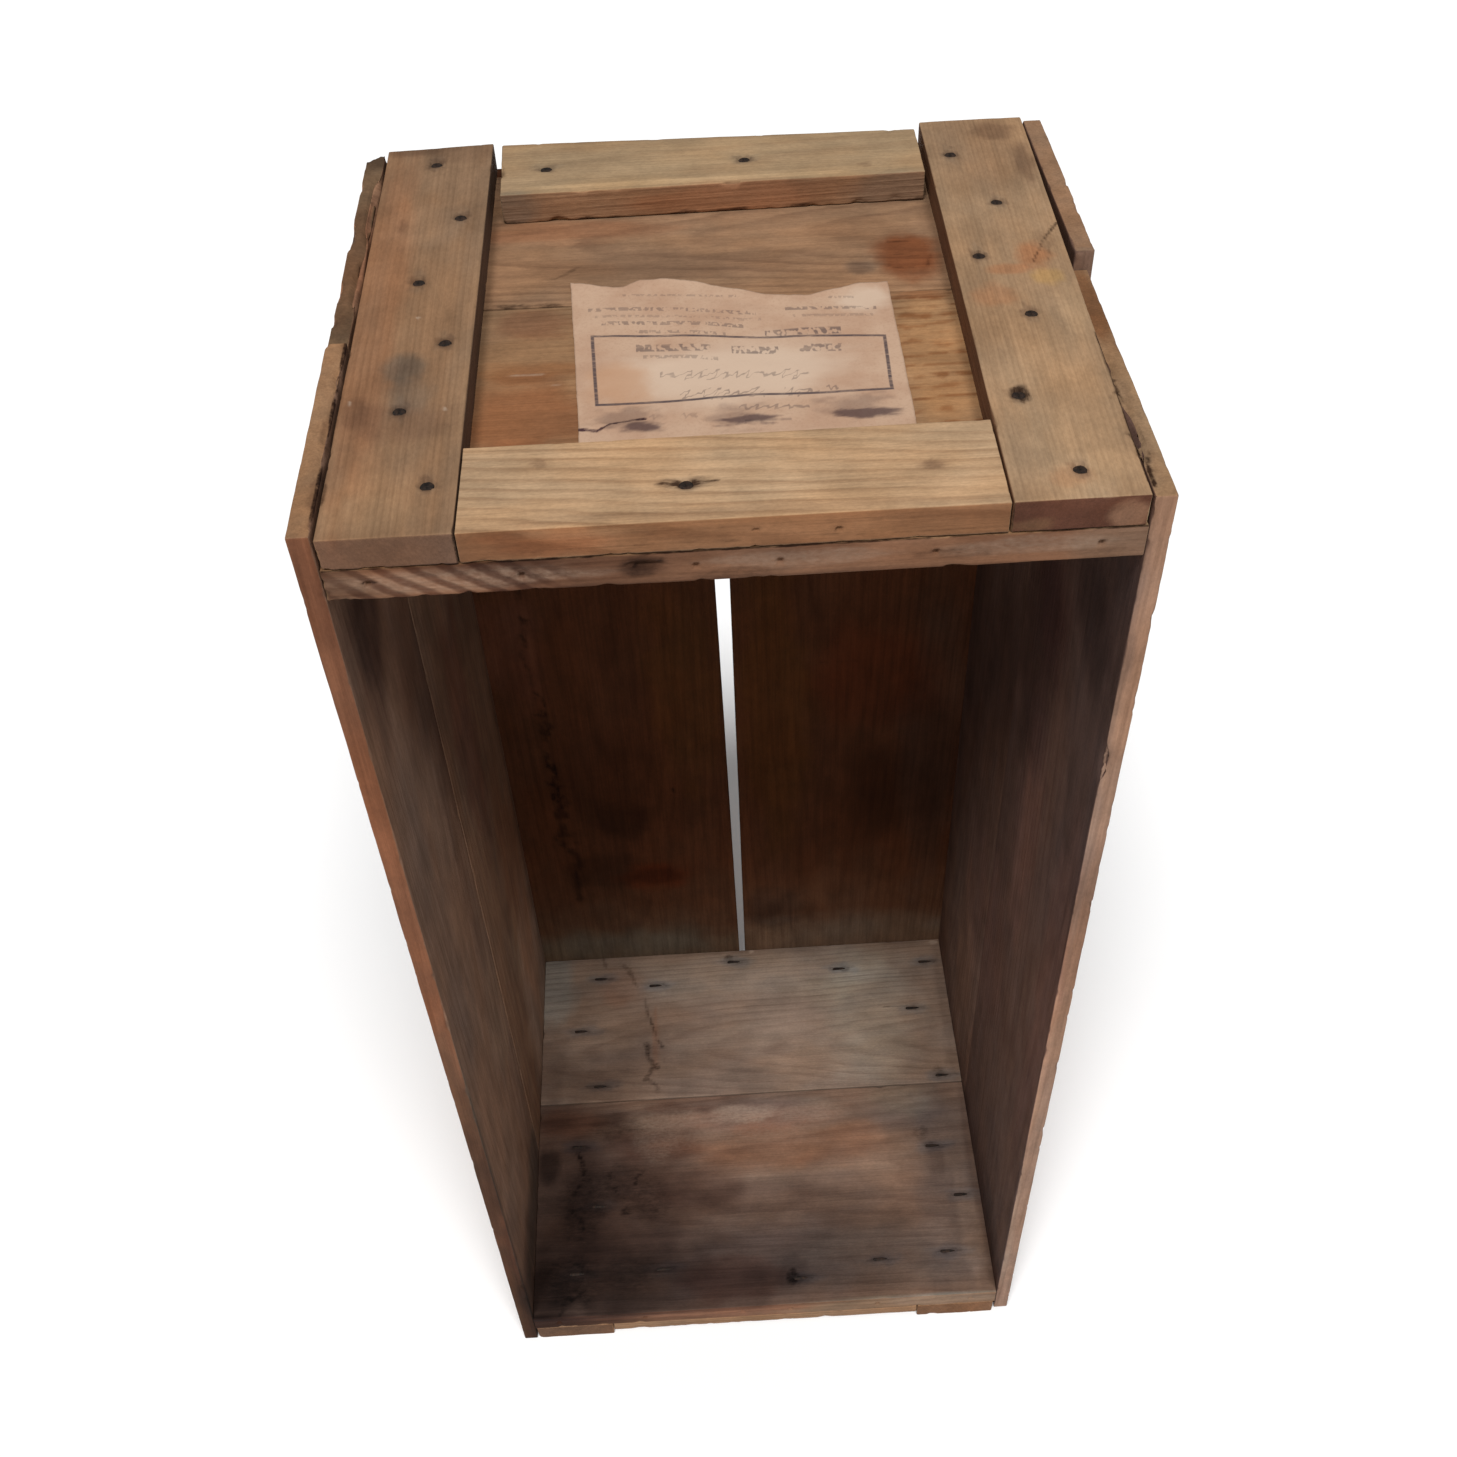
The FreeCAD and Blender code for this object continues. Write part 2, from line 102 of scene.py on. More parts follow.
def ramp(values, start, end):
    """0 at start, 1 at end and smooth between them. start may be above end."""
    share = np.clip((values - start) / (end - start), 0, 1)
    return share * share * (3 - 2 * share)


def blot(places, centre, reach, seed, ragged=0.35):
    """1 in the middle of an uneven ellipsoid and 0 outside it."""
    reach = np.asarray(reach, float) * np.ones(3)
    near = np.linalg.norm((places - centre) / reach, axis=1)
    share = np.zeros(len(places))
    close = near < 2
    if close.any():
        size = np.clip(reach * 0.5, 1.5, 25)
        near = near[close] + ragged * smooth_noise(places[close], size, seed, 4)
        share[close] = ramp(near, 1.15, 0.45)
    return share


def line_distance(places, start, end):
    """How far each place is from the line between start and end."""
    start, end = np.array(start, float), np.array(end, float)
    run = end - start
    along = np.clip((places - start) @ run / (run @ run), 0, 1)
    return np.linalg.norm(places - start - along[:, None] * run, axis=1)


def streak(places, start, end, width, seed):
    """1 along a wandering line between two places and 0 away from it."""
    share = np.zeros(len(places))
    close = line_distance(places, start, end) < 5 * width + 3
    if close.any():
        spots = places[close]
        bend = [smooth_noise(spots, (14, 14, 14), seed + axis, 2) for axis in (1, 2, 3)]
        near = line_distance(spots + 2.2 * width * np.stack(bend, axis=1), start, end) / width
        share[close] = ramp(near + 0.6 * smooth_noise(spots, (4, 4, 4), seed, 3), 1.2, 0.4)
    return share


def seam(places, start, end, width, seed):
    """1 along a straight line between two places, such as the shadow where two boards touch."""
    near = line_distance(places, start, end) / width
    return ramp(near + 0.25 * smooth_noise(places, (9, 9, 9), seed, 2), 1.3, 0.6)


# ---- shader building ---------------------------------------------------------------------------------

class Shader:
    """A material under construction, with short calls for the nodes that it is made of."""

    def __init__(self, name, roughness=0.8, specular=0.3):
        self.material = bpy.data.materials.new(name)
        self.material.use_nodes = True
        self.tree = self.material.node_tree
        self.surface = self.tree.nodes["Principled BSDF"]
        self.surface.inputs["Roughness"].default_value = roughness
        self.surface.inputs["Specular IOR Level"].default_value = specular

    def add(self, kind, inputs=(), output=0, **settings):
        """A node with its settings, its inputs by name or number, and one of its outputs."""
        node = self.tree.nodes.new(kind)
        for key, value in settings.items():
            setattr(node, key, value)
        for key, value in dict(inputs).items():
            if isinstance(value, bpy.types.NodeSocket):
                self.tree.links.new(value, node.inputs[key])
            elif value is not None:
                node.inputs[key].default_value = value
        return node.outputs[output]

    def attribute(self, name, output="Fac"):
        return self.add("ShaderNodeAttribute", output=output, attribute_name=name)

    def math(self, operation, a, b=None, c=None):
        return self.add("ShaderNodeMath", {0: a, 1: b, 2: c}, operation=operation)

    def vector(self, operation, a, b=None):
        output = "Value" if operation == "DOT_PRODUCT" else "Vector"
        return self.add("ShaderNodeVectorMath", {0: a, 1: b}, output, operation=operation)

    def parts(self, vector):
        node = self.add("ShaderNodeSeparateXYZ", {0: vector}).node
        return tuple(node.outputs)

    def noise(self, place, scale, detail=3.0, roughness=0.55, seed=0.0):
        """Noise from 0 to 1, with a scale for each axis, in blobs for each metre."""
        scaled = self.vector("MULTIPLY", place, scale)
        shifted = self.vector("ADD", scaled, (seed, seed * 1.7, seed * 0.6))
        inputs = {"Vector": shifted, "Scale": 1.0, "Detail": detail, "Roughness": roughness}
        return self.add("ShaderNodeTexNoise", inputs)

    def remap(self, value, start=0.0, end=1.0, low=0.0, high=1.0):
        """A value taken smoothly from the range start to end to the range low to high."""
        inputs = {"Value": value, "From Min": start, "From Max": end, "To Min": low, "To Max": high}
        return self.add("ShaderNodeMapRange", inputs, interpolation_type="SMOOTHSTEP")

    def profile(self, value, stops):
        """A value taken through points of (place, height), the first at 0 and the last at 1."""
        output = self.add("ShaderNodeValToRGB", {0: value})
        steps = output.node.color_ramp.elements
        for place, height in stops[1:-1]:
            steps.new(place).color = (height, height, height, 1)
        steps[0].color = (*[stops[0][1]] * 3, 1)
        steps[-1].color = (*[stops[-1][1]] * 3, 1)
        return output

    def mix(self, share, a, b, blend="MIX"):
        """Two colours, mixed or blended by a share."""
        node = self.tree.nodes.new("ShaderNodeMix")
        node.data_type = "RGBA"
        node.blend_type = blend
        for index, value in ((0, share), (6, a), (7, b)):
            if isinstance(value, bpy.types.NodeSocket):
                self.tree.links.new(value, node.inputs[index])
            else:
                node.inputs[index].default_value = value if index == 0 else (*value, 1)
        return node.outputs[2]

    def tinted(self, share, colour, tint):
        """A colour multiplied by a tint, as far as a share goes."""
        return self.mix(share, colour, self.mix(1.0, colour, tint, "MULTIPLY"))

    def finish(self, colour, height, depth):
        """Joins the colour and the bump of a height, at a depth in metres."""
        links = self.tree.links
        links.new(colour, self.surface.inputs["Base Color"])
        bump = self.add("ShaderNodeBump", {"Height": height, "Distance": depth, "Strength": 1.0})
        links.new(bump, self.surface.inputs["Normal"])
        return self.material


RING_PROFILE = ((0, 0.35), (0.12, 0.02), (0.55, 0.22), (0.84, 1), (0.95, 0.85), (1, 0.35))


def wood(name, early, late, pith, ring, slope=(0.0, 0.0), contrast=0.6, waves=0.5, fibres=0.6, seed=0.0):
    """Aged softwood cut from a log.

    early and late are the colours of a growth ring's two halves. pith is where the log's middle passes,
    across and through the board in mm, slope how far it drifts for each mm of length, and ring the width
    of a growth ring in mm.
    """
    make = Shader(name, roughness=0.9, specular=0.12)
    grain = make.attribute("grain", "Vector")
    along, across, through = make.parts(grain)
    drift = make.math("SUBTRACT", make.noise(grain, (5, 14, 14), 2, seed=seed), 0.5)
    bent = make.math("MULTIPLY_ADD", drift, 0.012 * waves, across)
    side = make.math("MULTIPLY_ADD", along, -slope[0], make.math("SUBTRACT", bent, pith[0] * MM))
    rise = make.math("MULTIPLY_ADD", along, -slope[1], make.math("SUBTRACT", through, pith[1] * MM))
    squares = make.math("ADD", make.math("POWER", side, 2.0), make.math("POWER", rise, 2.0))
    rings = make.math("DIVIDE", make.math("POWER", squares, 0.5), ring * MM)
    wander = make.noise(grain, (14, 60, 60), 3, seed=seed + 3)
    rings = make.math("MULTIPLY_ADD", wander, 0.9 * waves, rings)
    band = make.profile(make.math("FRACT", rings), RING_PROFILE)
    uneven = make.noise(grain, (9, 70, 70), 2, seed=seed + 7)
    band = make.math("MULTIPLY", band, make.remap(uneven, 0.25, 0.7, 0.35, 1.0))
    band = make.math("MULTIPLY", band, make.attribute("figure"))
    fibre = make.noise(grain, (22, 950, 950), 4, 0.6, seed=seed + 11)
    strand = make.noise(grain, (5, 210, 210), 3, 0.6, seed=seed + 13)
    mottle = make.noise(grain, (26, 42, 42), 4, 0.65, seed=seed + 17)
    cast = make.noise(grain, (11, 24, 24), 3, 0.6, seed=seed + 23)
    speckle = make.noise(grain, (420, 900, 900), 3, 0.7, seed=seed + 29)
    colour = make.mix(make.math("MULTIPLY", band, contrast), early, late)
    shade = make.remap(fibre, 0.25, 0.75, 1 - 0.24 * fibres, 1 + 0.16 * fibres)
    shade = make.math("MULTIPLY", shade, make.remap(strand, 0.3, 0.7, 1 - 0.2 * fibres, 1 + 0.12 * fibres))
    shade = make.math("MULTIPLY", shade, make.remap(mottle, 0.28, 0.72, 0.82, 1.14))
    shade = make.math("MULTIPLY", shade, make.remap(speckle, 0.3, 0.7, 0.92, 1.07))
    colour = make.mix(1.0, colour, shade, "MULTIPLY")
    reddish = make.mix(make.remap(cast, 0.35, 0.65), (1.05, 0.98, 0.93), (0.975, 0.985, 1.02))
    colour = make.mix(1.0, colour, reddish, "MULTIPLY")
    colour = make.mix(1.0, colour, make.attribute("tint", "Vector"), "MULTIPLY")
    # the painted masks are broken up by fine grit, so that stains, the painted shadow in seams and abrasion
    # have ragged edges
    grit = make.math("SUBTRACT", make.noise(grain, (160, 420, 420), 5, 0.7, seed=seed + 19), 0.5)
    dust = make.math("SUBTRACT", make.noise(grain, (330, 620, 620), 4, 0.7, seed=seed + 31), 0.5)
    masks = {}
    for mask, breaks, spread, start in (("dark", grit, 2.6, 0.03), ("pale", dust, 1.6, 0.05)):
        painted = make.attribute(mask)
        broken = make.math("MULTIPLY", make.math("MULTIPLY", breaks, spread), painted)
        masks[mask] = make.remap(make.math("ADD", painted, broken), start, 1.0)
    stripes = make.vector("DOT_PRODUCT", grain, (520, 0, 700))
    stripes = make.math("SINE", make.math("MULTIPLY_ADD", wander, 9.0, stripes))
    sawn = make.math("MULTIPLY", make.remap(stripes, -0.7, 0.9), make.attribute("sawn"))
    colour = make.mix(make.math("MULTIPLY", masks["pale"], 0.55), colour, (0.43, 0.32, 0.24))
    colour = make.tinted(make.attribute("sawn"), colour, (1.25, 1.2, 1.15))
    colour = make.tinted(make.math("MULTIPLY", sawn, 0.85), colour, (0.42, 0.33, 0.31))
    colour = make.tinted(masks["dark"], colour, (0.13, 0.1, 0.09))
    height = make.math("MULTIPLY_ADD", band, 0.5, fibre)
    height = make.math("MULTIPLY_ADD", strand, 0.8, height)
    height = make.math("MULTIPLY_ADD", grit, 1.0, height)
    height = make.math("MULTIPLY_ADD", sawn, -1.4, height)
    return make.finish(colour, height, 0.00024)


# ---- meshes ------------------------------------------------------------------------------------------

EDGE_STEPS = (0.35, 0.9, 1.7, 2.8, 4.2)
FINE_STEPS = (-4.4, -3.3, -2.5, -1.6, -0.7, 0.7, 1.6, 2.5, 3.3, 4.4)


def divisions(length, step, focuses=()):
    """Places along a side: even steps, closer ones at both ends and around each focus, in mm."""
    count = max(2, round((length - 2 * EDGE_STEPS[-1]) / step))
    places = list(np.linspace(EDGE_STEPS[-1], length - EDGE_STEPS[-1], count))
    places += [0, length]
    places += list(EDGE_STEPS[:-1]) + [length - edge for edge in EDGE_STEPS[:-1]]
    for focus in focuses:
        places = [place for place in places if abs(place - focus) > FINE_STEPS[-1] or place in (0, length)]
        places += [focus + shift for shift in FINE_STEPS if 0.5 < focus + shift < length - 0.5]
    kept = [0]
    for place in sorted(places)[1:]:
        if place - kept[-1] > 0.3:
            kept.append(place)
    kept[-1] = length
    return np.array(kept)


def closed_lattice(along, across, thick):
    """Points and faces of a closed box whose sides are divided at the given places."""
    shape = (len(along), len(across), len(thick))
    cell = np.indices(shape)
    limit = np.array(shape).reshape(3, 1, 1, 1) - 1
    shell = ((cell == 0) | (cell == limit)).any(axis=0)
    number = np.full(shape, -1)
    number[shell] = np.arange(shell.sum())
    i, j, k = (part[shell] for part in cell)
    points = np.stack([along[i], across[j], thick[k]], axis=1).astype(float)
    faces = []
    for axis in range(3):
        for side in (0, -1):
            sheet = np.moveaxis(number, axis, 0)[side]
            quads = np.stack([sheet[:-1, :-1], sheet[1:, :-1], sheet[1:, 1:], sheet[:-1, 1:]], axis=-1)
            quads = quads.reshape(-1, 4)
            outward = (side == -1) != (axis == 1)
            faces.append(quads if outward else quads[:, ::-1])
    return points, np.concatenate(faces)


def make_piece(name, places, faces, material, node, attributes=None):
    """A smooth-shaded piece with a value for each point, which stands for a CAD node."""
    mesh = bpy.data.meshes.new(name)
    mesh.vertices.add(len(places))
    mesh.vertices.foreach_set("co", np.asarray(places, np.float32).ravel())
    mesh.loops.add(faces.size)
    mesh.loops.foreach_set("vertex_index", faces.ravel().astype(np.int32))
    mesh.polygons.add(len(faces))
    mesh.polygons.foreach_set("loop_start", np.arange(len(faces), dtype=np.int32) * faces.shape[1])
    mesh.update(calc_edges=True)
    for key, values in (attributes or {}).items():
        vector = values.ndim == 2
        layer = mesh.attributes.new(key, "FLOAT_VECTOR" if vector else "FLOAT", "POINT")
        layer.data.foreach_set("vector" if vector else "value", np.asarray(values, np.float32).ravel())
    mesh.validate()
    mesh.materials.append(material)
    piece = bpy.data.objects.new(name, mesh)
    bpy.context.scene.collection.objects.link(piece)
    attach(piece, "root")
    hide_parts(node)
    return piece


def cad_points(node):
    return np.array([vertex.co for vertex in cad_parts[node].data.vertices])


# ---- nails -------------------------------------------------------------------------------------------

NAIL_SPREAD = 20 * MM
HEAD_LEVEL = 1.3 * MM
SHANK = 1.3
HEAD = 2.9


def find_nails(node, side):
    """A CAD group's nails: each one's head, its outer face's middle, and the end of its tip."""
    way = np.array(TOWARDS[side], float)
    points = cad_points(node)
    flat = points - (points @ way)[:, None] * way
    left = np.argsort(-(points @ way))
    nails = []
    while len(left):
        first = left[0]
        near = np.linalg.norm(flat[left] - flat[first], axis=1) < NAIL_SPREAD
        own = points[left[near]]
        top = own[own @ way > points[first] @ way - HEAD_LEVEL]
        head = (top.min(axis=0) + top.max(axis=0)) / 2
        head += (points[first] @ way - head @ way) * way
        low = own[own @ way < (own @ way).min() + 2 * MM]
        tip = low[np.argmax(np.linalg.norm((low - head) - ((low - head) @ way)[:, None] * way, axis=1))]
        nails.append((head, tip))
        left = left[~near]
    return nails


def swept(centres, radii, seed, turns=14):
    """Points and faces of a closed uneven tube along a line of centres, in mm."""
    centres = np.array(centres, float)
    heading = np.gradient(centres, axis=0)
    heading /= np.linalg.norm(heading, axis=1, keepdims=True)
    guide = np.eye(3)[np.argmin(np.abs(heading).max(axis=0))]
    right = np.cross(heading, guide)
    right /= np.linalg.norm(right, axis=1, keepdims=True)
    up = np.cross(right, heading)
    angles = np.arange(turns) / turns * 2 * np.pi
    circle = right[:, None] * np.cos(angles)[None, :, None] + up[:, None] * np.sin(angles)[None, :, None]
    radii = np.array(radii, float)[:, None, None]
    places = centres[:, None] + circle * radii
    flat = places.reshape(-1, 3)
    uneven = 1 + 0.16 * smooth_noise(flat, (1.2, 1.2, 1.2), seed).reshape(places.shape[:2] + (1,))
    places = centres[:, None] + circle * radii * uneven
    ends = np.stack([centres[0], centres[-1]])
    points = np.concatenate([places.reshape(-1, 3), ends])
    rows = np.arange(len(centres) - 1)[:, None] * turns
    this = np.arange(turns)
    after = (this + 1) % turns
    quads = np.stack([rows + this, rows + after, rows + turns + after, rows + turns + this], axis=-1)
    first, last = len(points) - 2, len(points) - 1
    base = (len(centres) - 1) * turns
    caps = [np.stack([after, this, np.full(turns, first), np.full(turns, first)], axis=-1)]
    caps.append(np.stack([base + this, base + after, np.full(turns, last), np.full(turns, last)], axis=-1))
    return points, quads.reshape(-1, 4), np.concatenate(caps)[:, :3]


def nail_group(node, side, clinched, material):
    """Rusty wire nails: a dished head, a shank, and for a clinched nail a tip bent over along the wood."""
    way = np.array(TOWARDS[side], float)
    points, triangles = [], []
    count = 0
    for index, (head, tip) in enumerate(find_nails(node, side)):
        seed = 500 + index
        head, tip = head / MM, tip / MM
        lean = 0.25 * lattice_value(np.array([[index, 1, 2], [index, 3, 4], [index, 5, 6]]), 9)
        top = head - way * 0.75
        depths = (0.25, 0.05, 0, 0.12, 0.45, 0.85, 1.05, 1.1, 2, 6)
        widths = (0.3, 1.4, 2.2, HEAD * 0.93, HEAD, HEAD * 0.94, HEAD * 0.7, SHANK * 1.1, SHANK, SHANK)
        centres = [top - way * depth + lean * depth / 6 for depth in depths]
        radii = list(widths)
        sink = (head - tip) @ way
        if clinched:
            aside = (tip - head) + way * sink
            reach = np.linalg.norm(aside)
            aside /= reach
            level = sink - 0.9
            for depth in (level - 5, level - 1.5, level - 0.5):
                centres.append(head - way * depth)
                radii.append(SHANK)
            for out, rise, radius in ((0.9, 0.35, 1.25), (2.4, 0.5, 1.2), (0.55 * reach, 0.3, 1.1),
                                      (0.8 * reach, 0.0, 0.8), (0.97 * reach, -0.35, 0.3)):
                centres.append(head - way * (level + rise) + aside * out)
                radii.append(radius)
        else:
            for depth, radius in ((sink - 6, SHANK), (sink - 1.5, 0.7), (sink - 0.2, 0.25)):
                centres.append(head - way * depth)
                radii.append(radius)
        body, quads, caps = swept(centres, radii, seed)
        split = np.concatenate([quads[:, [0, 1, 2]], quads[:, [0, 2, 3]], caps])
        points.append(body)
        triangles.append(split + count)
        count += len(body)
    places = np.concatenate(points)
    return make_piece("nails_" + node, places * MM, np.concatenate(triangles), material, node)


def rust():
    make = Shader("rusty_iron", roughness=0.8, specular=0.2)
    place = make.add("ShaderNodeTexCoord", output="Object")
    patch = make.noise(place, (420, 420, 420), 4, 0.65)
    pitting_and_highlights = make.noise(place, (1500, 1500, 1500), 4, 0.7, seed=5)
    colour = make.mix(make.remap(patch, 0.4, 0.65), (0.015, 0.011, 0.009), (0.038, 0.021, 0.014))
    # the pitting noise also lays lighter grey flecks on the iron: painted highlights
    colour = make.mix(make.remap(pitting_and_highlights, 0.5, 0.7, 0, 0.5), colour, (0.055, 0.04, 0.031))
    return make.finish(colour, make.math("ADD", patch, pitting_and_highlights), 0.0003)


# ---- boards ------------------------------------------------------------------------------------------

# colour multipliers for faces and blots. Most are stains and weathering. "shade" is also painted shade on
# faces turned from the light, in corners and on the inner walls, and "light" is also painted light on lit
# patches of the inner walls, besides rubbed wear
TINTS = {
    "shade": (0.5, 0.46, 0.47),
    "black": (0.2, 0.18, 0.2),
    "red": (1.12, 0.7, 0.5),
    "orange": (1.22, 0.85, 0.6),
    "grey": (0.72, 0.85, 1.02),
    "blue": (0.52, 0.78, 1.1),
    "light": (1.4, 1.4, 1.36),
    "yellow": (1.22, 1.16, 0.82),
    "olive": (1.15, 1.2, 0.75),
}


def from_crate(places):
    """Places on the crate in mm, as places in the frame in metres."""
    return np.asarray(places, float) * MM + CRATE_ZERO


def on_crate(places):
    """Places in the frame in metres, as places on the crate in mm."""
    return (places - CRATE_ZERO) / MM


def board_corners(name, axes):
    """The CAD board's eight corners, as an array indexed by grain, width and thickness end."""
    points = cad_points(name)
    low, high = points.min(axis=0), points.max(axis=0)
    scaled = (points - (low + high) / 2) / ((high - low) / 2)
    corners = np.zeros((2, 2, 2, 3))
    for ends in np.ndindex(2, 2, 2):
        towards = np.zeros(3)
        for axis, end in zip(axes, ends):
            towards[axis] = 2 * end - 1
        corners[ends] = points[np.argmax(scaled @ towards)]
    if name == "left_side_rear_board":
        corners[1, 1] = corners[1, 0] + corners[0, 1] - corners[0, 0]
    return corners


def board(name, letters, look, step=2.4, wear=0.8, chips=1.0, faces=None, blots=(), bites=(), cuts=(),
          ripples=(), nails=(), sunk_nails=(), tips=()):
    """A worn board, with its edges rounded and chipped, and its stains, painted light and painted shade on
    its points.

    letters are the axes of its length, width and thickness. Every blot is (kind, strength, centre, reach),
    or (kind, strength, start, end, width) for a line. Its kind is a mask, a name in TINTS or a tint of its
    own, or "seam" or "scratch" for a straight line that is dark or pale. Every bite is (depth, centre,
    reach), and takes wood away. Every cut is (place, normal, centre, reach), and takes away what is beyond
    a plane. ripples are the places (x, y) of short marks of wavy figure on the upper panel. nails are the
    nail heads in its outer face, and tips the nails that are bent over on its face, as (head, tip). The
    wood has closed over the heads at sunk_nails, which are (x, y).
    """
    seed = 10 * list(BOARDS).index(name) + 7
    axes = [AXES[axis] for axis in letters]
    corners = board_corners(name, axes)
    start = corners[0, 0, 0]
    spans = [np.moveaxis(corners, axis, 0) for axis in range(3)]
    spans = np.array([(span[1] - span[0]).reshape(-1, 3).mean(axis=0) for span in spans])
    size = np.linalg.norm(spans, axis=1)
    ways = spans / size[:, None]
    size /= MM
    faint = [head for head in nails if any(
        np.linalg.norm(on_crate(head)[:2] - place) < 4 for place in sunk_nails)]
    nails = [head for head in nails if not any(head is other for other in faint)]
    pits = [(1.7, on_crate(head), 3.3) for head in nails]
    pits += [(depth, centre, reach) for depth, centre, reach in bites if np.ndim(reach) == 0]
    fine = [ways @ (from_crate(centre) - start) / MM for depth, centre, reach in pits]
    points, quads = closed_lattice(*(
        divisions(size[axis], step, [place[axis] for place in fine if 1 < place[axis] < size[axis] - 1])
        for axis in range(3)
    ))
    # rounded edges, which are more worn in some places than in others
    worn = wear * (1 + 0.8 * smooth_noise(points, (25, 25, 25), seed))
    worn += chips * 2.6 * ramp(smooth_noise(points, (9, 9, 9), seed + 1, 3), 0.22, 0.75)
    radius = np.clip(worn, 0.3, size.min() / 2.3)[:, None]
    inner = np.clip(points, radius, size - radius)
    outward = points - inner
    outward /= np.linalg.norm(outward, axis=1, keepdims=True)
    rounded = inner + outward * radius
    share = rounded / size
    placed = np.zeros_like(points)
    for ends in np.ndindex(2, 2, 2):
        weight = np.prod(np.where(np.array(ends), share, 1 - share), axis=1)
        placed += weight[:, None] * corners[ends]
    spots = on_crate(placed)
    outside = outward @ ways
    relief = 0.10 * smooth_noise(points, (60, 7, 7), seed + 2)
    relief = relief + 0.06 * smooth_noise(points, (12, 5, 5), seed + 3)
    sunk = 0.1 - relief
    for depth, centre, reach in pits:
        near = np.linalg.norm(spots - centre, axis=1) / reach
        sunk += depth * ramp(near, 1.0, 0.72) + 0.15 * depth * ramp(near, 2.4, 0.9)
    for index, (depth, centre, reach) in enumerate(bites):
        if np.ndim(reach):
            sunk += depth * blot(spots, centre, reach, seed + 40 + index, 0.3)
    spots = spots - outside * sunk[:, None]
    for index, (place, normal, centre, reach) in enumerate(cuts):
        normal = np.array(normal, float) / np.linalg.norm(normal)
        past = (spots - place) @ normal + 0.9 * smooth_noise(spots, (6, 6, 6), seed + 60 + index, 4)
        weight = blot(spots, centre, reach, seed + 61 + index, 0.1)
        spots = spots - (np.maximum(past, 0) * weight)[:, None] * normal
    # tints for whole faces, which are painted light and shade for the way each face is turned to the light,
    # then tints for edges and end grain, and then the blots
    tint = np.ones_like(spots)
    masks = {"dark": np.zeros(len(spots)), "pale": np.zeros(len(spots)), "sawn": np.zeros(len(spots)),
             "plain": np.zeros(len(spots))}

    def paint(kind, share):
        nonlocal tint
        if kind in masks:
            masks[kind] = np.maximum(masks[kind], share)
        else:
            colour = TINTS[kind] if isinstance(kind, str) else kind
            tint = tint * (1 + share[:, None] * (np.array(colour) - 1))

    # painted light and shade by face: a face turned from the light gets a darker tint, and outer faces are
    # lifted above the darker inner ones
    for side, colour in (faces or {}).items():
        facing = np.clip(outside @ np.array(TOWARDS[side], float), 0, 1)
        paint(colour, ramp(facing, 0.6, 0.9))
    end_grain = ramp(np.abs(outward[:, 0]), 0.5, 0.9)
    masks["plain"] = np.maximum(masks["plain"], 0.6 * end_grain)
    arris = ramp(np.abs(outward).max(axis=1), 0.995, 0.85)
    rubbed = 0.5 + smooth_noise(points, (14, 14, 14), seed + 4)
    paint("light", 0.35 * arris * np.clip(rubbed, 0, 1))
    deep = ramp(worn, 1.4 * wear + 0.6, 1.4 * wear + 2.4) * arris
    paint("shade", 0.5 * deep)
    for index, (kind, strength, *where) in enumerate(blots):
        if kind in ("seam", "scratch"):
            kind = "dark" if kind == "seam" else "pale"
            share = seam(spots, *where, seed + 80 + index)
        elif len(where) == 3:
            share = streak(spots, *where, seed + 80 + index)
        else:
            share = blot(spots, *where, seed + 80 + index)
        paint(kind, strength * share)
    for index, (x, y) in enumerate(ripples):
        ends = (x, y, PANEL_TOP), (x + RIPPLE_RUN, y + RIPPLE_RISE, PANEL_TOP)
        share = streak(spots, *ends, 1.1 + 0.5 * (index % 3), seed + 500 + 9 * index)
        paint((0.64, 0.48, 0.38), (0.7 + 0.25 * (index % 2)) * share)
    along = np.abs(ways[0])
    for index, head in enumerate(nails):
        centre = on_crate(head)
        paint("dark", 0.6 * blot(spots, centre, 3.4, seed + 200 + index, 0.5))
        paint("grey", 0.3 * blot(spots, centre, 4.5 + 5 * along, seed + 230 + index, 0.6))
        paint("shade", 0.6 * blot(spots, centre, 4.6 + 1.5 * along, seed + 260 + index, 0.8))
    for index, head in enumerate(faint):
        centre = on_crate(head)
        paint("shade", 0.55 * blot(spots, centre, 3.0 + 1.5 * along, seed + 430 + index, 0.5))
    for index, (head, tip) in enumerate(tips):
        head, tip = on_crate(head), on_crate(tip)
        knee = head + ways[2] * (ways[2] @ (tip - head))
        reach = (tip - knee) / np.linalg.norm(tip - knee)
        middle = (knee + tip) / 2
        paint("dark", 0.45 * blot(spots, middle, 3.2 + 9 * np.abs(reach), seed + 300 + index, 0.6))
        paint("grey", 0.7 * blot(spots, middle, 6 + 10 * np.abs(reach), seed + 330 + index, 0.5))
    if np.linalg.det(spans) < 0:
        quads = quads[:, ::-1]
    attributes = {"grain": points * MM, "tint": tint, "figure": 1 - masks.pop("plain"), **masks}
    paint_of_wood = wood(name, seed=seed * 0.37, **look)
    return make_piece("wood_" + name, from_crate(spots), quads, paint_of_wood, name, attributes)


INSIDE_LEFT, INSIDE_RIGHT = -156, 156
BACK = 291
CLEAT_TOP, PANEL_TOP = 711, 696
RIPPLE_RUN, RIPPLE_RISE = 30, 1.5

CLEAT_LOOK = dict(early=(0.27, 0.16, 0.09), late=(0.17, 0.09, 0.045), pith=(-60, -40), ring=2.4, contrast=0.5)
SIDE_LOOK = dict(early=(0.2, 0.12, 0.08), late=(0.12, 0.066, 0.042), pith=(70, -90), ring=4.2,
                 slope=(0.0, 0.04), contrast=0.45)
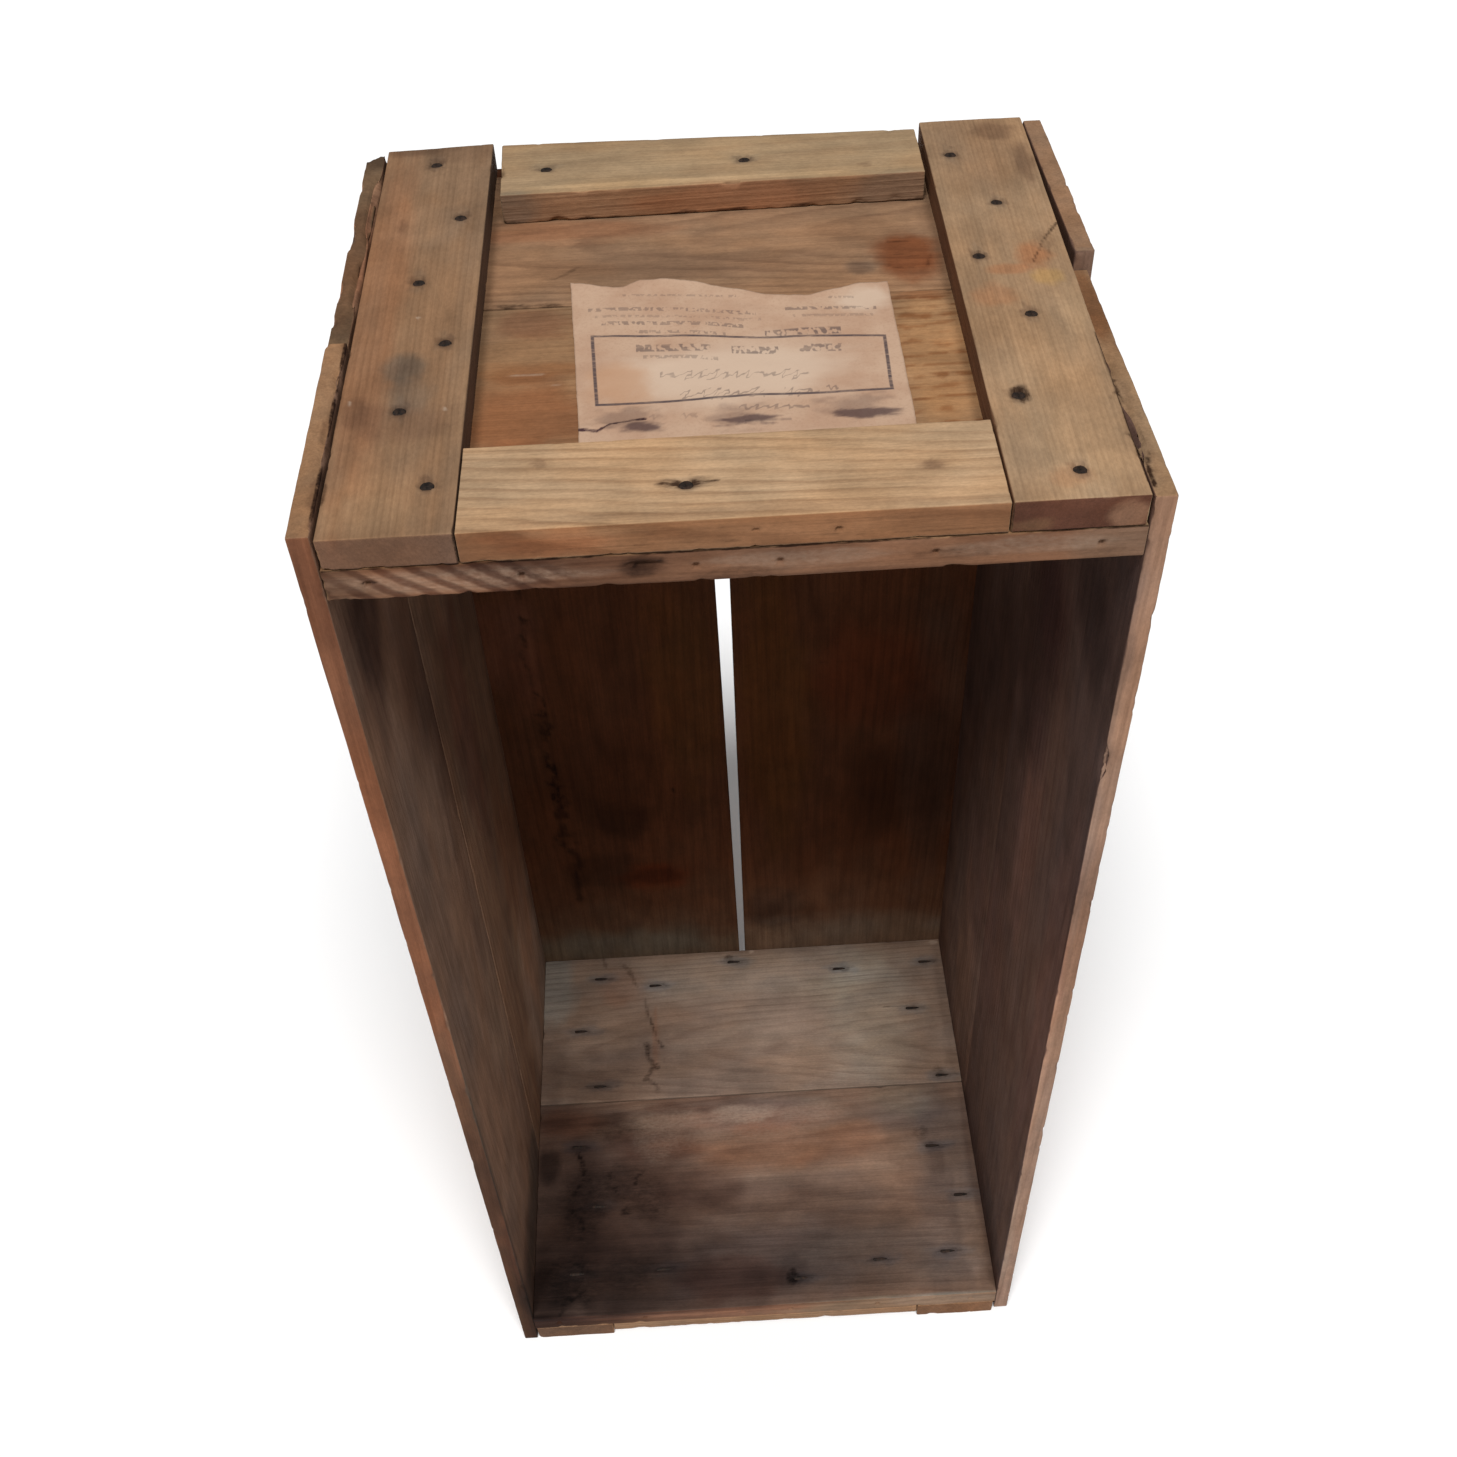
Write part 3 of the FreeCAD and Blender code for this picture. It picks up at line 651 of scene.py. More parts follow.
# the back boards' colours are dark for their inner faces, partly the wood's own colour and partly painted
# shade inside the crate; their rear faces are lifted by a face tint
BACK_LOOK = dict(early=(0.092, 0.0315, 0.0125), late=(0.048, 0.015, 0.006), pith=(80, -60), ring=5,
                 slope=(0.01, 0.05), contrast=0.4, waves=0.8)
LID_NAILS = (-139, -81, -15, 17, 76, 139)
# short worn strokes across the grain of the floor's front board, near its rear edge
SCUFF_STROKES = [
    ("scratch", 0.12 + 0.16 * np.sin(1.7 * count) ** 2,
     (x, 137 + 11 * np.sin(2.3 * count), 30),
     (x + 3 * np.sin(0.9 * count), 144 + 11 * np.sin(2.3 * count), 30), 1.8)
    for count, x in enumerate(range(-64, 62, 4))
]

# each board's faces are tints for whole faces: painted light and shade for how each face is turned to the
# light, darker for faces turned away from it
BOARDS = {
    "top_left_cleat": dict(
        letters="yxz", step=1.3, chips=0.8, nails_of=("top_left_cleat_nails", "up"),
        look=dict(early=(0.245, 0.147, 0.082), late=(0.175, 0.098, 0.052), pith=(-60, -40), ring=2.3,
                  contrast=0.35, fibres=0.35),
        faces={"front": (0.66, 0.6, 0.66), "right": (0.5, 0.5, 0.58), "rear": "shade"},
        blots=[
            ("red", 0.35, (-147, 150, CLEAT_TOP), (14, 170, 30)),
            ("grey", 0.3, (-105, 130, CLEAT_TOP), (8, 190, 30)),
            ("light", 0.3, (-106, 110, CLEAT_TOP), (7, 90, 12)),
            ("shade", 0.15, (-126, 96, CLEAT_TOP), (16, 40, 12)),
            ("blue", 0.55, (-131, 108, CLEAT_TOP), (10, 12, 12)),
            ("blue", 0.35, (-127, 88, CLEAT_TOP), (11, 14, 12)),
            ("shade", 0.3, (-132, 101, CLEAT_TOP), (12, 16, 12)),
            ("shade", 0.3, (-130, 112, CLEAT_TOP), (7, 9, 12)),
            ("light", 0.45, (-136, 20, CLEAT_TOP), (32, 20, 12)),
            ("light", 0.15, (-135, 218, CLEAT_TOP), (20, 16, 12)),
            ("pale", 1.0, (-128, 145, CLEAT_TOP), 1.4),
            ("pale", 1.0, (-112, 78, CLEAT_TOP), (1.4, 2.2, 2)),
            ("pale", 0.8, (-151, 85, CLEAT_TOP), (1.2, 2.4, 2)),
            ("shade", 0.5, (-148, 78, CLEAT_TOP), (7, 12, 8)),
            ("shade", 0.45, (-142, 222, CLEAT_TOP), (2.5, 7, 6)),
            ("dark", 0.6, (-155, 20, CLEAT_TOP), (-155, 138, CLEAT_TOP), 1.8),
            ("shade", 0.5, (-140, 296, CLEAT_TOP), (25, 10, 20)),
            ("shade", 0.4, (-118, 290, CLEAT_TOP), (30, 12, 20)),
            ("seam", 0.9, (-155, 0, PANEL_TOP), (-103, 0, PANEL_TOP), 0.8),
            ("seam", 0.7, (-103.5, 0, PANEL_TOP), (-103.5, 0, CLEAT_TOP), 0.7),
            ((1.1, 1.15, 1.22), 1.0, (-132, 220, CLEAT_TOP), (24, 22, 8)),
            ((1.1, 1.14, 1.16), 1.0, (-142, 15, CLEAT_TOP), (24, 14, 8)),
            ((0.84, 0.82, 0.84), 1.0, (-128, 70, CLEAT_TOP), (24, 16, 8)),
        ],
    ),
    "top_right_cleat": dict(
        letters="yxz", step=1.3, chips=0.8, nails_of=("top_right_cleat_nails", "up"),
        look=dict(early=(0.32, 0.205, 0.117), late=(0.245, 0.147, 0.08), pith=(110, -35), ring=2.0,
                  contrast=0.4, fibres=0.35),
        faces={"front": (0.32, 0.2, 0.205), "left": (0.55, 0.42, 0.38), "rear": "shade"},
        blots=[
            ("shade", 0.35, (128, 265, CLEAT_TOP), (26, 50, 12)),
            ("red", 0.6, (140, 168, CLEAT_TOP), (9, 12, 12)),
            ("red", 0.5, (128, 158, CLEAT_TOP), (12, 5, 12)),
            ("seam", 0.7, (155, 194, CLEAT_TOP), (147, 181, CLEAT_TOP), 0.9),
            ("seam", 0.55, (147, 181, CLEAT_TOP), (139, 163, CLEAT_TOP), 0.8),
            ("seam", 0.35, (149, 178, CLEAT_TOP), (146, 164, CLEAT_TOP), 0.6),
            ("shade", 0.4, (147, 178, CLEAT_TOP), (5, 12, 8)),
            ("yellow", 0.8, (143, 151, CLEAT_TOP), (8, 8, 12)),
            ("shade", 0.75, (150, 250, CLEAT_TOP), (6, 22, 15)),
            ("shade", 0.6, (140, 282, CLEAT_TOP), (12, 10, 8)),
            ("red", 0.35, (118, 138, CLEAT_TOP), (11, 10, 12)),
            ("red", 0.25, (128, 14, CLEAT_TOP), (10, 8, 8)),
            ("light", 0.3, (132, 60, CLEAT_TOP), (22, 60, 8)),
            ("grey", 0.3, (135, 30, CLEAT_TOP), (30, 40, 8)),
            ("light", 0.6, (150, 125, CLEAT_TOP), (7, 22, 8)),
            ("light", 0.35, (130, 26, CLEAT_TOP), (30, 36, 8)),
            ((2.4, 3.2, 3.3), 1.0, (148, 0, 702), (9, 3, 7.5)),
            ((1.5, 1.9, 1.7), 0.8, (112, 0, 699), (9, 3, 4)),
            ("dark", 0.6, (116, 171, CLEAT_TOP), 4.4),
            ("dark", 0.75, (117, 67, CLEAT_TOP), (5, 7, 5)),
            ("light", 0.35, (138, 12, CLEAT_TOP), (22, 18, 8)),
            ("seam", 0.9, (155.4, 8, 710.5), (155.4, 106, 710.5), 1.2),
            ("dark", 0.7, (155, 24, CLEAT_TOP), (155, 92, CLEAT_TOP), 2.2),
            ("seam", 0.9, (104, 0, PANEL_TOP), (155, 0, PANEL_TOP), 0.8),
            ("seam", 0.8, (103.5, 0, PANEL_TOP), (103.5, 0, CLEAT_TOP), 0.8),
        ],
    ),
    "top_front_cleat": dict(
        letters="xyz", step=1.3, wear=0.6, nails_of=("top_front_cleat_nails", "up"),
        sunk_nails=[(-73, 39), (77, 25)],
        look=dict(early=(0.455, 0.3, 0.172), late=(0.28, 0.165, 0.088), pith=(-190, -58), ring=5.6,
                  slope=(-0.07, 0.0), contrast=0.75, waves=1.0, fibres=0.35),
        faces={"front": (0.6, 0.45, 0.38), "rear": (0.7, 0.6, 0.55)},
        blots=[
            ("dark", 0.95, (-17, 22, CLEAT_TOP), (8.5, 2.8, 5)),
            ("dark", 0.8, (-28, 22.5, CLEAT_TOP), (-4, 23, CLEAT_TOP), 0.8),
            ("dark", 0.45, (-17, 22, CLEAT_TOP), (16, 5, 5)),
            ("shade", 0.5, (-95, 0, 703), (26, 5, 10)),
            ("shade", 0.25, (90, 0, 703), (40, 5, 10)),
            ((1.2, 1.35, 1.45), 0.8, (-56, 0, 708), (34, 4, 3)),
            ("dark", 0.35, (-80, 0, 700), (90, 0, 700), 0.6),
            ("dark", 0.3, (-60, 0, 706), (70, 0, 707), 0.6),
            ("shade", 0.35, (0, 3, CLEAT_TOP), (110, 5, 4)),
            ("shade", 0.5, (77, 25, CLEAT_TOP), (7, 4, 5)),
            ("red", 0.35, (-70, 0, 703), (30, 6, 8)),
            ("light", 0.5, (0, 0, 710), (120, 4, 2.5)),
            ("seam", 1.0, (-103, 0, PANEL_TOP), (103, 0, PANEL_TOP), 0.9),
        ],
        bites=[(3, (-73, 0, 698), 0.9), (3, (8, 0, 704), 0.9), (3, (39, 0, 703), 0.9),
               (3, (56, 0, 706), 0.9)],
    ),
    "top_rear_cleat": dict(
        letters="xyz", step=1.4, chips=1.5, nails_of=("top_rear_cleat_nails", "up"),
        sunk_nails=[(75, 256)],
        look=dict(early=(0.345, 0.235, 0.132), late=(0.25, 0.155, 0.085), pith=(10, -70), ring=3.2,
                  slope=(0.0, 0.03), contrast=0.4, fibres=0.4),
        faces={"front": (0.86, 0.7, 0.68), "rear": "shade"},
        blots=[
            ("grey", 0.8, (-92, 245, 703), (14, 8, 12)),
            ("dark", 0.7, (-100, 245, PANEL_TOP), (104, 246, PANEL_TOP), 2),
            ("grey", 0.6, (88, 246, 703), (26, 8, 12)),
            ("light", 0.7, (-10, 250, CLEAT_TOP), (90, 3, 4)),
            ("red", 0.4, (10, 245, 703), (60, 6, 12)),
            ("shade", 0.5, (0, 294, 708), (120, 6, 8)),
        ],
    ),
    "top_panel_front": dict(
        letters="xyz", step=1.6, wear=0.7, tips_of="top",
        look=dict(early=(0.285, 0.168, 0.088), late=(0.175, 0.09, 0.042), pith=(20, -60), ring=3.6,
                  slope=(0.05, 0.03), contrast=0.75, waves=1.2, fibres=0.35),
        faces={"front": (0.66, 0.57, 0.62), "down": "shade"},
        blots=[
            ("orange", 0.35, (-85, 62, PANEL_TOP), (30, 12, 8)),
            ((0.84, 0.64, 0.55), 1.0, (-82, 92, PANEL_TOP), (34, 32, 8)),
            ((0.9, 0.76, 0.66), 1.0, (-82, 122, PANEL_TOP), (34, 9, 8)),
            ("shade", 0.3, (-78, 121, PANEL_TOP), (24, 9, 8)),
            ("shade", 0.25, (-95, 150, PANEL_TOP), (34, 22, 8)),
            ("light", 0.35, (80, 82, PANEL_TOP), (30, 12, 8)),
            ("plain", 0.8, (-90, 110, PANEL_TOP), (34, 80, 12)),
            ("scratch", 0.65, (-100, 121, PANEL_TOP), (-66, 119, PANEL_TOP), 0.4),
            ("scratch", 0.5, (-77, 113, PANEL_TOP), (-66, 111, PANEL_TOP), 0.4),
            ("light", 0.3, (-80, 124, PANEL_TOP), (34, 3, 8)),
            ((1.26, 1.16, 1.02), 1.0, (94, 118, PANEL_TOP), (22, 64, 12)),
            ("light", 0.35, (95, 140, PANEL_TOP), (18, 26, 12)),
            ("plain", 0.7, (94, 110, PANEL_TOP), (22, 60, 12)),
            ("sawn", 1.0, (-112, 0, 688), (62, 4, 16)),
            ("pale", 0.45, (-100, 0, 689), (60, 3, 8)),
            ((0.62, 0.7, 0.78), 0.8, (-150, 0, 688), (18, 4, 14)),
            ((1.06, 1.2, 1.3), 1.0, (146, 0, 688), (22, 4, 14)),
            ("shade", 0.6, (-100, 0, 694), (34, 4, 4)),
            ("shade", 0.3, (-50, 0, 694), (90, 4, 6)),
            ("pale", 0.4, (20, 0, 690), (44, 3, 6)),
            ("pale", 0.4, (112, 0, 690), (44, 3, 6)),
            ("dark", 0.35, (0, 0, 684), (26, 3, 4)),
            ("dark", 0.35, (82, 0, 688), (22, 3, 4)),
            ("dark", 0.3, (136, 0, 684), (18, 3, 4)),
            ("shade", 0.5, (-60, 0, 688), (34, 4, 12)),
            ("dark", 0.4, (-36, 0, 690), (11, 5, 7)),
            ("black", 0.6, (-36, 0, 690), (10, 5, 6)),
            ("dark", 1.0, (-43, 0, 687), (-27, 0, 693), 1.2),
            ("plain", 0.8, (60, 0, 688), (120, 5, 20)),
            ("light", 0.3, (70, 0, 688), (90, 4, 10)),
            ("dark", 0.8, (-139, 0, 689), (4, 2, 1.4)),
            ("seam", 1.0, (-156, 0, 696.5), (156, 0, 696.5), 1.0),
            ("shade", 0.6, (0, 0, 681), (160, 5, 2)),
            ((0.88, 0.76, 0.74), 1.0, (-82, 158, PANEL_TOP), (20, 14, 8)),
            ((0.84, 0.72, 0.68), 1.0, (90, 166, PANEL_TOP), (18, 5, 8)),
            ((0.62, 0.58, 0.6), 1.0, (-88, 0, 690), (22, 4, 10)),
            ((0.76, 0.72, 0.7), 1.0, (30, 0, 693), (20, 4, 5)),
            ((0.82, 0.78, 0.76), 1.0, (108, 0, 693), (26, 4, 5)),
        ],
        # the wavy figure beside the label's right edge
        ripples=[(72, 62), (80, 71), (70, 78), (76, 87), (74, 96), (82, 103), (74, 111), (78, 119), (72, 127),
                 (80, 134), (74, 141), (80, 148), (76, 155), (72, 162)],
        bites=[(4, (x, 0, 688.5), 1.1) for x in LID_NAILS] + [(1.8, (-34, 0, 691), (8, 4, 1.6))],
    ),
    "top_panel_rear": dict(
        letters="xyz", step=1.8, wear=0.6, tips_of="top",
        look=dict(early=(0.28, 0.164, 0.092), late=(0.16, 0.088, 0.05), pith=(48, -46), ring=3.8,
                  slope=(0.02, 0.07), contrast=0.6, waves=1.5, fibres=0.35),
        faces={"down": "shade"},
        blots=[
            ((0.7, 0.42, 0.29), 1.0, (90, 198, PANEL_TOP), (18, 22, 8)),
            ("dark", 0.45, (80, 190, PANEL_TOP), (97, 186, PANEL_TOP), 1.2),
            ("dark", 0.45, (97, 186, PANEL_TOP), (101, 198, PANEL_TOP), 1.2),
            ("dark", 0.45, (82, 211, PANEL_TOP), (98, 209, PANEL_TOP), 1.0),
            ("dark", 0.35, (84, 200, PANEL_TOP), (94, 197, PANEL_TOP), 1.2),
            ("light", 0.5, (96, 236, PANEL_TOP), (18, 12, 8)),
            ("grey", 0.5, (66, 190, PANEL_TOP), (8, 7.5, 5)),
            ("shade", 0.55, (66, 190, PANEL_TOP), (7, 6.5, 5)),
            ("dark", 0.55, (-96, 173, PANEL_TOP), (-70, 171, PANEL_TOP), 2.6),
            ("dark", 0.4, (-78, 195, PANEL_TOP), (-62, 203, PANEL_TOP), 1.6),
            ("light", 0.1, (-84, 190, PANEL_TOP), (30, 14, 8)),
            ("shade", 0.4, (-20, 200, PANEL_TOP), (80, 14, 8)),
            ("shade", 0.3, (104, 228, PANEL_TOP), (8, 14, 8)),
            ("red", 0.4, (-70, 235, PANEL_TOP), (60, 12, 8)),
            ("dark", 0.35, (-100, 248, PANEL_TOP), (100, 248, PANEL_TOP), 3),
        ],
    ),
    "bottom_panel_front": dict(
        letters="xyz", step=1.9, wear=0.7, tips_of="bottom",
        look=dict(early=(0.203, 0.13, 0.092), late=(0.127, 0.074, 0.052), pith=(90, -70), ring=4.4,
                  slope=(0.02, 0.05), contrast=0.5, waves=1.2, fibres=0.4),
        faces={"front": (1.15, 0.86, 0.7), "down": "shade"},
        blots=[
            # the soaked left side and its rotten marks
            ("shade", 0.9, (-150, 78, 30), (70, 130, 10)),
            ("shade", 0.5, (-110, 40, 30), (90, 60, 10)),
            ("shade", 0.4, (-145, 60, 30), (34, 120, 10)),
            ("red", 0.4, (-135, 146, 30), (28, 14, 8)),
            ("black", 0.7, (-148, 112, 30), (9, 18, 8)),
            ("black", 0.5, (-150, 14, 30), (20, 26, 8)),
            ("dark", 0.7, (-126, 121, 30), (-120, 105, 30), 2.6),
            ("dark", 0.7, (-120, 105, 30), (-130, 90, 30), 2.4),
            ("dark", 0.75, (-130, 90, 30), (-133, 75, 30), 3.2),
            ("dark", 0.7, (-133, 75, 30), (-123, 60, 30), 2.6),
            ("dark", 0.5, (-117, 92, 30), (5, 8, 5)),
            ("dark", 0.6, (-104, 104, 30), (-100, 86, 30), 2.0),
            ("dark", 0.6, (-81, 102, 30), (-86, 88, 30), 1.8),
            ("dark", 0.65, (-93, 74, 30), (6, 4, 5)),
            ("dark", 0.55, (-72, 71, 30), (-65, 66, 30), 1.8),
            ("dark", 0.7, (-136, 41, 30), (-125, 31, 30), 2.6),
            ("dark", 0.7, (-125, 31, 30), (-126, 14, 30), 2.4),
            ("dark", 0.7, (-126, 14, 30), (-138, 6, 30), 2.8),
            ((0.5, 0.48, 0.5), 1.0, (-86, 76, 30), (62, 76, 10)),
            ((0.7, 0.66, 0.66), 1.0, (-80, 90, 30), (30, 22, 10)),
            ((0.75, 0.68, 0.66), 1.0, (-62, 150, 30), (24, 9, 10)),
            ((0.75, 0.78, 0.8), 1.0, (66, 26, 30), (80, 34, 10)),
            ((0.8, 0.66, 0.62), 1.0, (-20, 20, 30), (40, 20, 10)),
            ((0.55, 0.52, 0.52), 1.0, (-90, 20, 30), (110, 40, 10)),
            ((0.65, 0.58, 0.58), 1.0, (-70, 124, 30), (40, 20, 10)),
            ("shade", 0.6, (-118, 148, 30), (50, 8, 10)),
            ("dark", 0.45, (-122, 78, 30), (24, 40, 8)),
            ("dark", 0.4, (-96, 96, 30), (26, 24, 8)),
            ("dark", 0.4, (-76, 84, 30), (18, 26, 8)),
            ("dark", 0.5, (-130, 24, 30), (26, 26, 8)),
            ("dark", 0.35, (-90, 26, 30), (30, 20, 8)),
            ("dark", 0.35, (-100, 140, 30), (30, 12, 8)),
            ("light", 0.5, (-106, 118, 30), (24, 24, 6)),
            # scuffs near the joint
            ("blue", 0.25, (-20, 152, 30), (90, 7, 6)),
            ("pale", 0.4, (-60, 144, 30), (44, 12, 6)),
            ("pale", 0.62, (-8, 145, 30), (34, 10, 6)),
            ("pale", 0.42, (40, 145, 30), (36, 12, 6)),
            ("pale", 0.3, (-70, 126, 30), (24, 20, 6)),
            ("pale", 0.3, (0, 130, 30), (80, 14, 6)),
            ("orange", 0.55, (20, 120, 30), (90, 22, 6)),
            ("light", 0.45, (35, 98, 30), (95, 4, 6)),
            ("light", 0.6, (104, 104, 30), (30, 26, 6)),
            ("grey", 0.4, (110, 140, 30), (40, 16, 6)),
            ("light", 0.4, (120, 148, 30), (24, 10, 6)),
            ("light", 0.9, (146, 50, 30), (10, 44, 6)),
            ("shade", 0.6, (0, 44, 30), (50, 12, 6)),
            ("shade", 0.6, (-5, 76, 30), (70, 16, 6)),
            ("shade", 0.4, (80, 70, 30), (60, 24, 6)),
            ("shade", 0.5, (-30, 92, 30), (30, 20, 6)),
            ("shade", 0.7, (0, 12, 30), (150, 26, 6)),
            ("shade", 0.5, (10, 46, 30), (130, 30, 6)),
            ("blue", 0.35, (0, 34, 30), (130, 34, 6)),
            ("dark", 0.72, (20, 18, 30), (5.5, 8, 5)),
            ("shade", 0.5, (20, 22, 30), (14, 14, 5)),
            # the right side, with painted shade along the right wall
            ("grey", 0.5, (136, 80, 30), (26, 100, 10)),
            ("dark", 0.4, (120, 122, 30), (8, 7, 8)),
            ("shade", 0.5, (128, 100, 30), (8, 18, 8)),
            ("shade", 0.6, (155, 90, 30), (6, 90, 16)),
            ((1.0, 1.4, 1.5), 0.8, (95, 0, 22), (100, 3, 12)),
            ("light", 0.4, (60, 0, 28), (110, 3, 4)),
            ("shade", 1.0, (-145, 0, 22), (80, 4, 14)),
            ("shade", 0.9, (-150, 0, 22), (40, 4, 14)),
            ((0.76, 0.7, 0.68), 1.0, (-40, 158, 30), (40, 14, 10)),
            ((0.78, 0.72, 0.7), 1.0, (-40, 84, 30), (34, 20, 10)),
            ((1.12, 1.22, 1.2), 1.0, (112, 150, 30), (30, 18, 10)),
            ((0.72, 0.76, 0.8), 1.0, (-105, 7, 30), (60, 10, 8)),
            ((1.1, 0.98, 0.98), 1.0, (0, 142, 30), (70, 14, 8)),
            ((0.62, 0.63, 0.6), 1.0, (-110, 0, 18.5), (80, 4, 6)),
            ((1.1, 1.22, 1.4), 0.9, (118, 0, 24), (50, 3, 10)),
        ] + SCUFF_STROKES,
        bites=[(4, (x, 0, 22.5), 1.1) for x in LID_NAILS],
    ),
    "bottom_panel_rear": dict(
        letters="xyz", step=1.9, wear=0.6, tips_of="bottom",
        look=dict(early=(0.26, 0.182, 0.132), late=(0.178, 0.116, 0.084), pith=(40, -36), ring=4.2,
                  slope=(-0.01, 0.09), contrast=0.6, waves=1.1, fibres=0.35),
        faces={"down": "shade"},
        blots=[
            ("dark", 0.45, (-110, 296, 30), (-108, 282, 30), 2.0),
            ("dark", 0.45, (-92, 280, 30), (-79, 249, 30), 2.2),
            ("dark", 0.45, (-79, 249, 30), (-77, 235, 30), 2.4),
            ("dark", 0.55, (-90, 213, 30), (-78, 207, 30), 3.0),
            ("dark", 0.62, (-78, 207, 30), (-76, 195, 30), 3.4),
            ("dark", 0.62, (-76, 195, 30), (-71, 189, 30), 3.6),
            ("dark", 0.55, (-71, 189, 30), (-76, 181, 30), 3.0),
            ("dark", 0.45, (-76, 181, 30), (-68, 166, 30), 2.2),
            ("red", 0.35, (-96, 262, 30), (22, 20, 8)),
            ("shade", 0.3, (-84, 200, 30), (24, 18, 8)),
            ("shade", 0.45, (-130, 180, 30), (50, 30, 8)),
            ("shade", 0.5, (-50, 182, 30), (100, 36, 10)),
            ((0.9, 1.15, 1.35), 1.0, (-150, 270, 30), (22, 50, 10)),
            ((1.2, 1.3, 1.35), 1.0, (10, 268, 30), (150, 26, 10)),
            ((1.2, 1.35, 1.4), 1.0, (96, 225, 30), (40, 70, 10)),
            ("red", 0.35, (-70, 215, 30), (3, 30, 5)),
            ("dark", 0.5, (-73, 232, 30), (-66, 205, 30), 1.8),
            ("dark", 0.4, (-66, 205, 30), (-60, 180, 30), 1.5),
            # painted shade along the rear and side walls
            ("shade", 0.25, (0, 292, 30), (170, 5, 8)),
            ("shade", 0.4, (153, 230, 30), (7, 80, 12)),
            ("shade", 0.5, (-150, 198, 30), (16, 44, 12)),
            ("dark", 0.55, (-11, 285, 30), (5, 4, 4)),
            ("dark", 0.4, (102, 231, 30), (124, 229, 30), 1.2),
            ("dark", 0.4, (140, 172, 30), (5, 5, 5)),
            ("pale", 1.0, (7, 289, 30), 2.4),
            ("pale", 1.0, (151, 288, 30), (4, 2.4, 4)),
            ("light", 0.25, (50, 205, 30), (60, 34, 8)),
            ((0.85, 0.83, 0.83), 1.0, (-55, 226, 30), (50, 20, 10)),
            ((1.12, 1.15, 1.12), 1.0, (58, 250, 30), (30, 18, 10)),
        ],
    ),
    "left_side_front_board": dict(
        letters="zyx", step=2.4, chips=1.1, nails_of=("left_side_nails", "left"),
        look=dict(SIDE_LOOK, early=(0.235, 0.138, 0.09), late=(0.16, 0.088, 0.055), fibres=0.45),
        faces={"front": (0.95, 0.67, 0.52), "up": (1.2, 1.15, 0.92), "left": (1.4, 1.4, 1.3)},
        blots=[
            # the inner face: painted shadow cast by the upper end over its top part, and painted light on the
            # lit part lower down, among its stains
            ("shade", 0.3, (INSIDE_LEFT, 80, 650), (6, 200, 70)),
            ("sawn", 0.15, (-165, 60, 520), (4, 70, 150)),
            ("shade", 0.6, (-165, 60, 12), (4, 90, 40)),
            ("dark", 0.7, (-165, 84, 713), (-165, 80, 640), 0.9),
            ("dark", 0.5, (-165, 40, 0), (-165, 43, 90), 0.8),
            ("black", 0.5, (-165, 92, 300), (4, 9, 15)),
            ("seam", 0.9, (-156, 8, 713), (-156, 126, 713), 1.3),
            ("shade", 0.6, (-156.5, 12, 713), (-156.5, 125, 713), 2.0),
            ("shade", 0.5, (INSIDE_LEFT, 100, 540), (6, 40, 60)),
            ("shade", 0.5, (INSIDE_LEFT, 145, 470), (6, 40, 100)),
            ("shade", 0.7, (INSIDE_LEFT, 50, 635), (6, 30, 50)),
            ("shade", 0.5, (INSIDE_LEFT, 130, 480), (6, 30, 90)),
            ("shade", 0.5, (INSIDE_LEFT, 20, 60), (6, 60, 30)),
            ("light", 0.3, (INSIDE_LEFT, 70, 330), (6, 18, 200)),
            ("blue", 0.2, (INSIDE_LEFT, 30, 440), (6, 26, 160)),
            ("shade", 0.3, (INSIDE_LEFT, 104, 400), (6, 10, 200)),
            ("shade", 0.75, (INSIDE_LEFT, 60, 20), (8, 110, 70)),
            ("shade", 0.5, (INSIDE_LEFT, 10, 80), (8, 30, 120)),
            ("shade", 0.4, (-161, 0, 690), (8, 5, 40)),
            ("shade", 0.8, (-160, 0, 110), (12, 5, 230)),
            ("shade", 0.5, (-160, 0, 40), (12, 5, 110)),
            ("shade", 0.5, (-160, 0, 250), (12, 5, 110)),
            ((0.72, 0.7, 0.72), 1.0, (INSIDE_LEFT, 46, 628), (6, 32, 50)),
            ((0.85, 0.74, 0.74), 1.0, (INSIDE_LEFT, 142, 480), (6, 26, 90)),
            ((1.2, 1.22, 1.18), 1.0, (INSIDE_LEFT, 104, 240), (6, 32, 60)),
            ((0.82, 0.94, 1.0), 1.0, (INSIDE_LEFT, 80, 52), (6, 90, 26)),
            ((0.74, 0.92, 1.02), 1.0, (-161, 0, 240), (12, 5, 150)),
            ((0.66, 0.8, 0.8), 1.0, (-161, 0, 50), (12, 5, 80)),
            ((0.66, 0.6, 0.58), 1.0, (INSIDE_LEFT, 66, 664), (6, 70, 34)),
            ((0.8, 0.76, 0.74), 1.0, (INSIDE_LEFT, 30, 610), (6, 26, 60)),
            ((0.84, 0.78, 0.76), 1.0, (INSIDE_LEFT, 100, 600), (6, 50, 110)),
        ],
        bites=[(1.6, (-157, 100, 713), (1.8, 9, 4)), (1.2, (-157, 55, 713), (1.6, 16, 4))],
    ),
    "left_side_rear_board": dict(
        letters="zyx", step=2.4, chips=1.3, nails_of=("left_side_nails", "left"),
        look=dict(SIDE_LOOK, early=(0.25, 0.143, 0.087), late=(0.168, 0.092, 0.056), fibres=0.5),
        faces={"up": (0.56, 0.62, 0.58), "left": (1.4, 1.4, 1.3), "rear": "light"},
        blots=[
            # the inner face: painted shadow over its upper part and painted light low down, among its stains
            ("orange", 0.4, (INSIDE_LEFT, 235, 190), (6, 46, 150)),
            ("sawn", 0.15, (-165, 210, 250), (4, 80, 170)),
            ("shade", 0.6, (-165, 210, 12), (4, 100, 44)),
            ("dark", 0.6, (-165, 170, 0), (-165, 176, 120), 0.8),
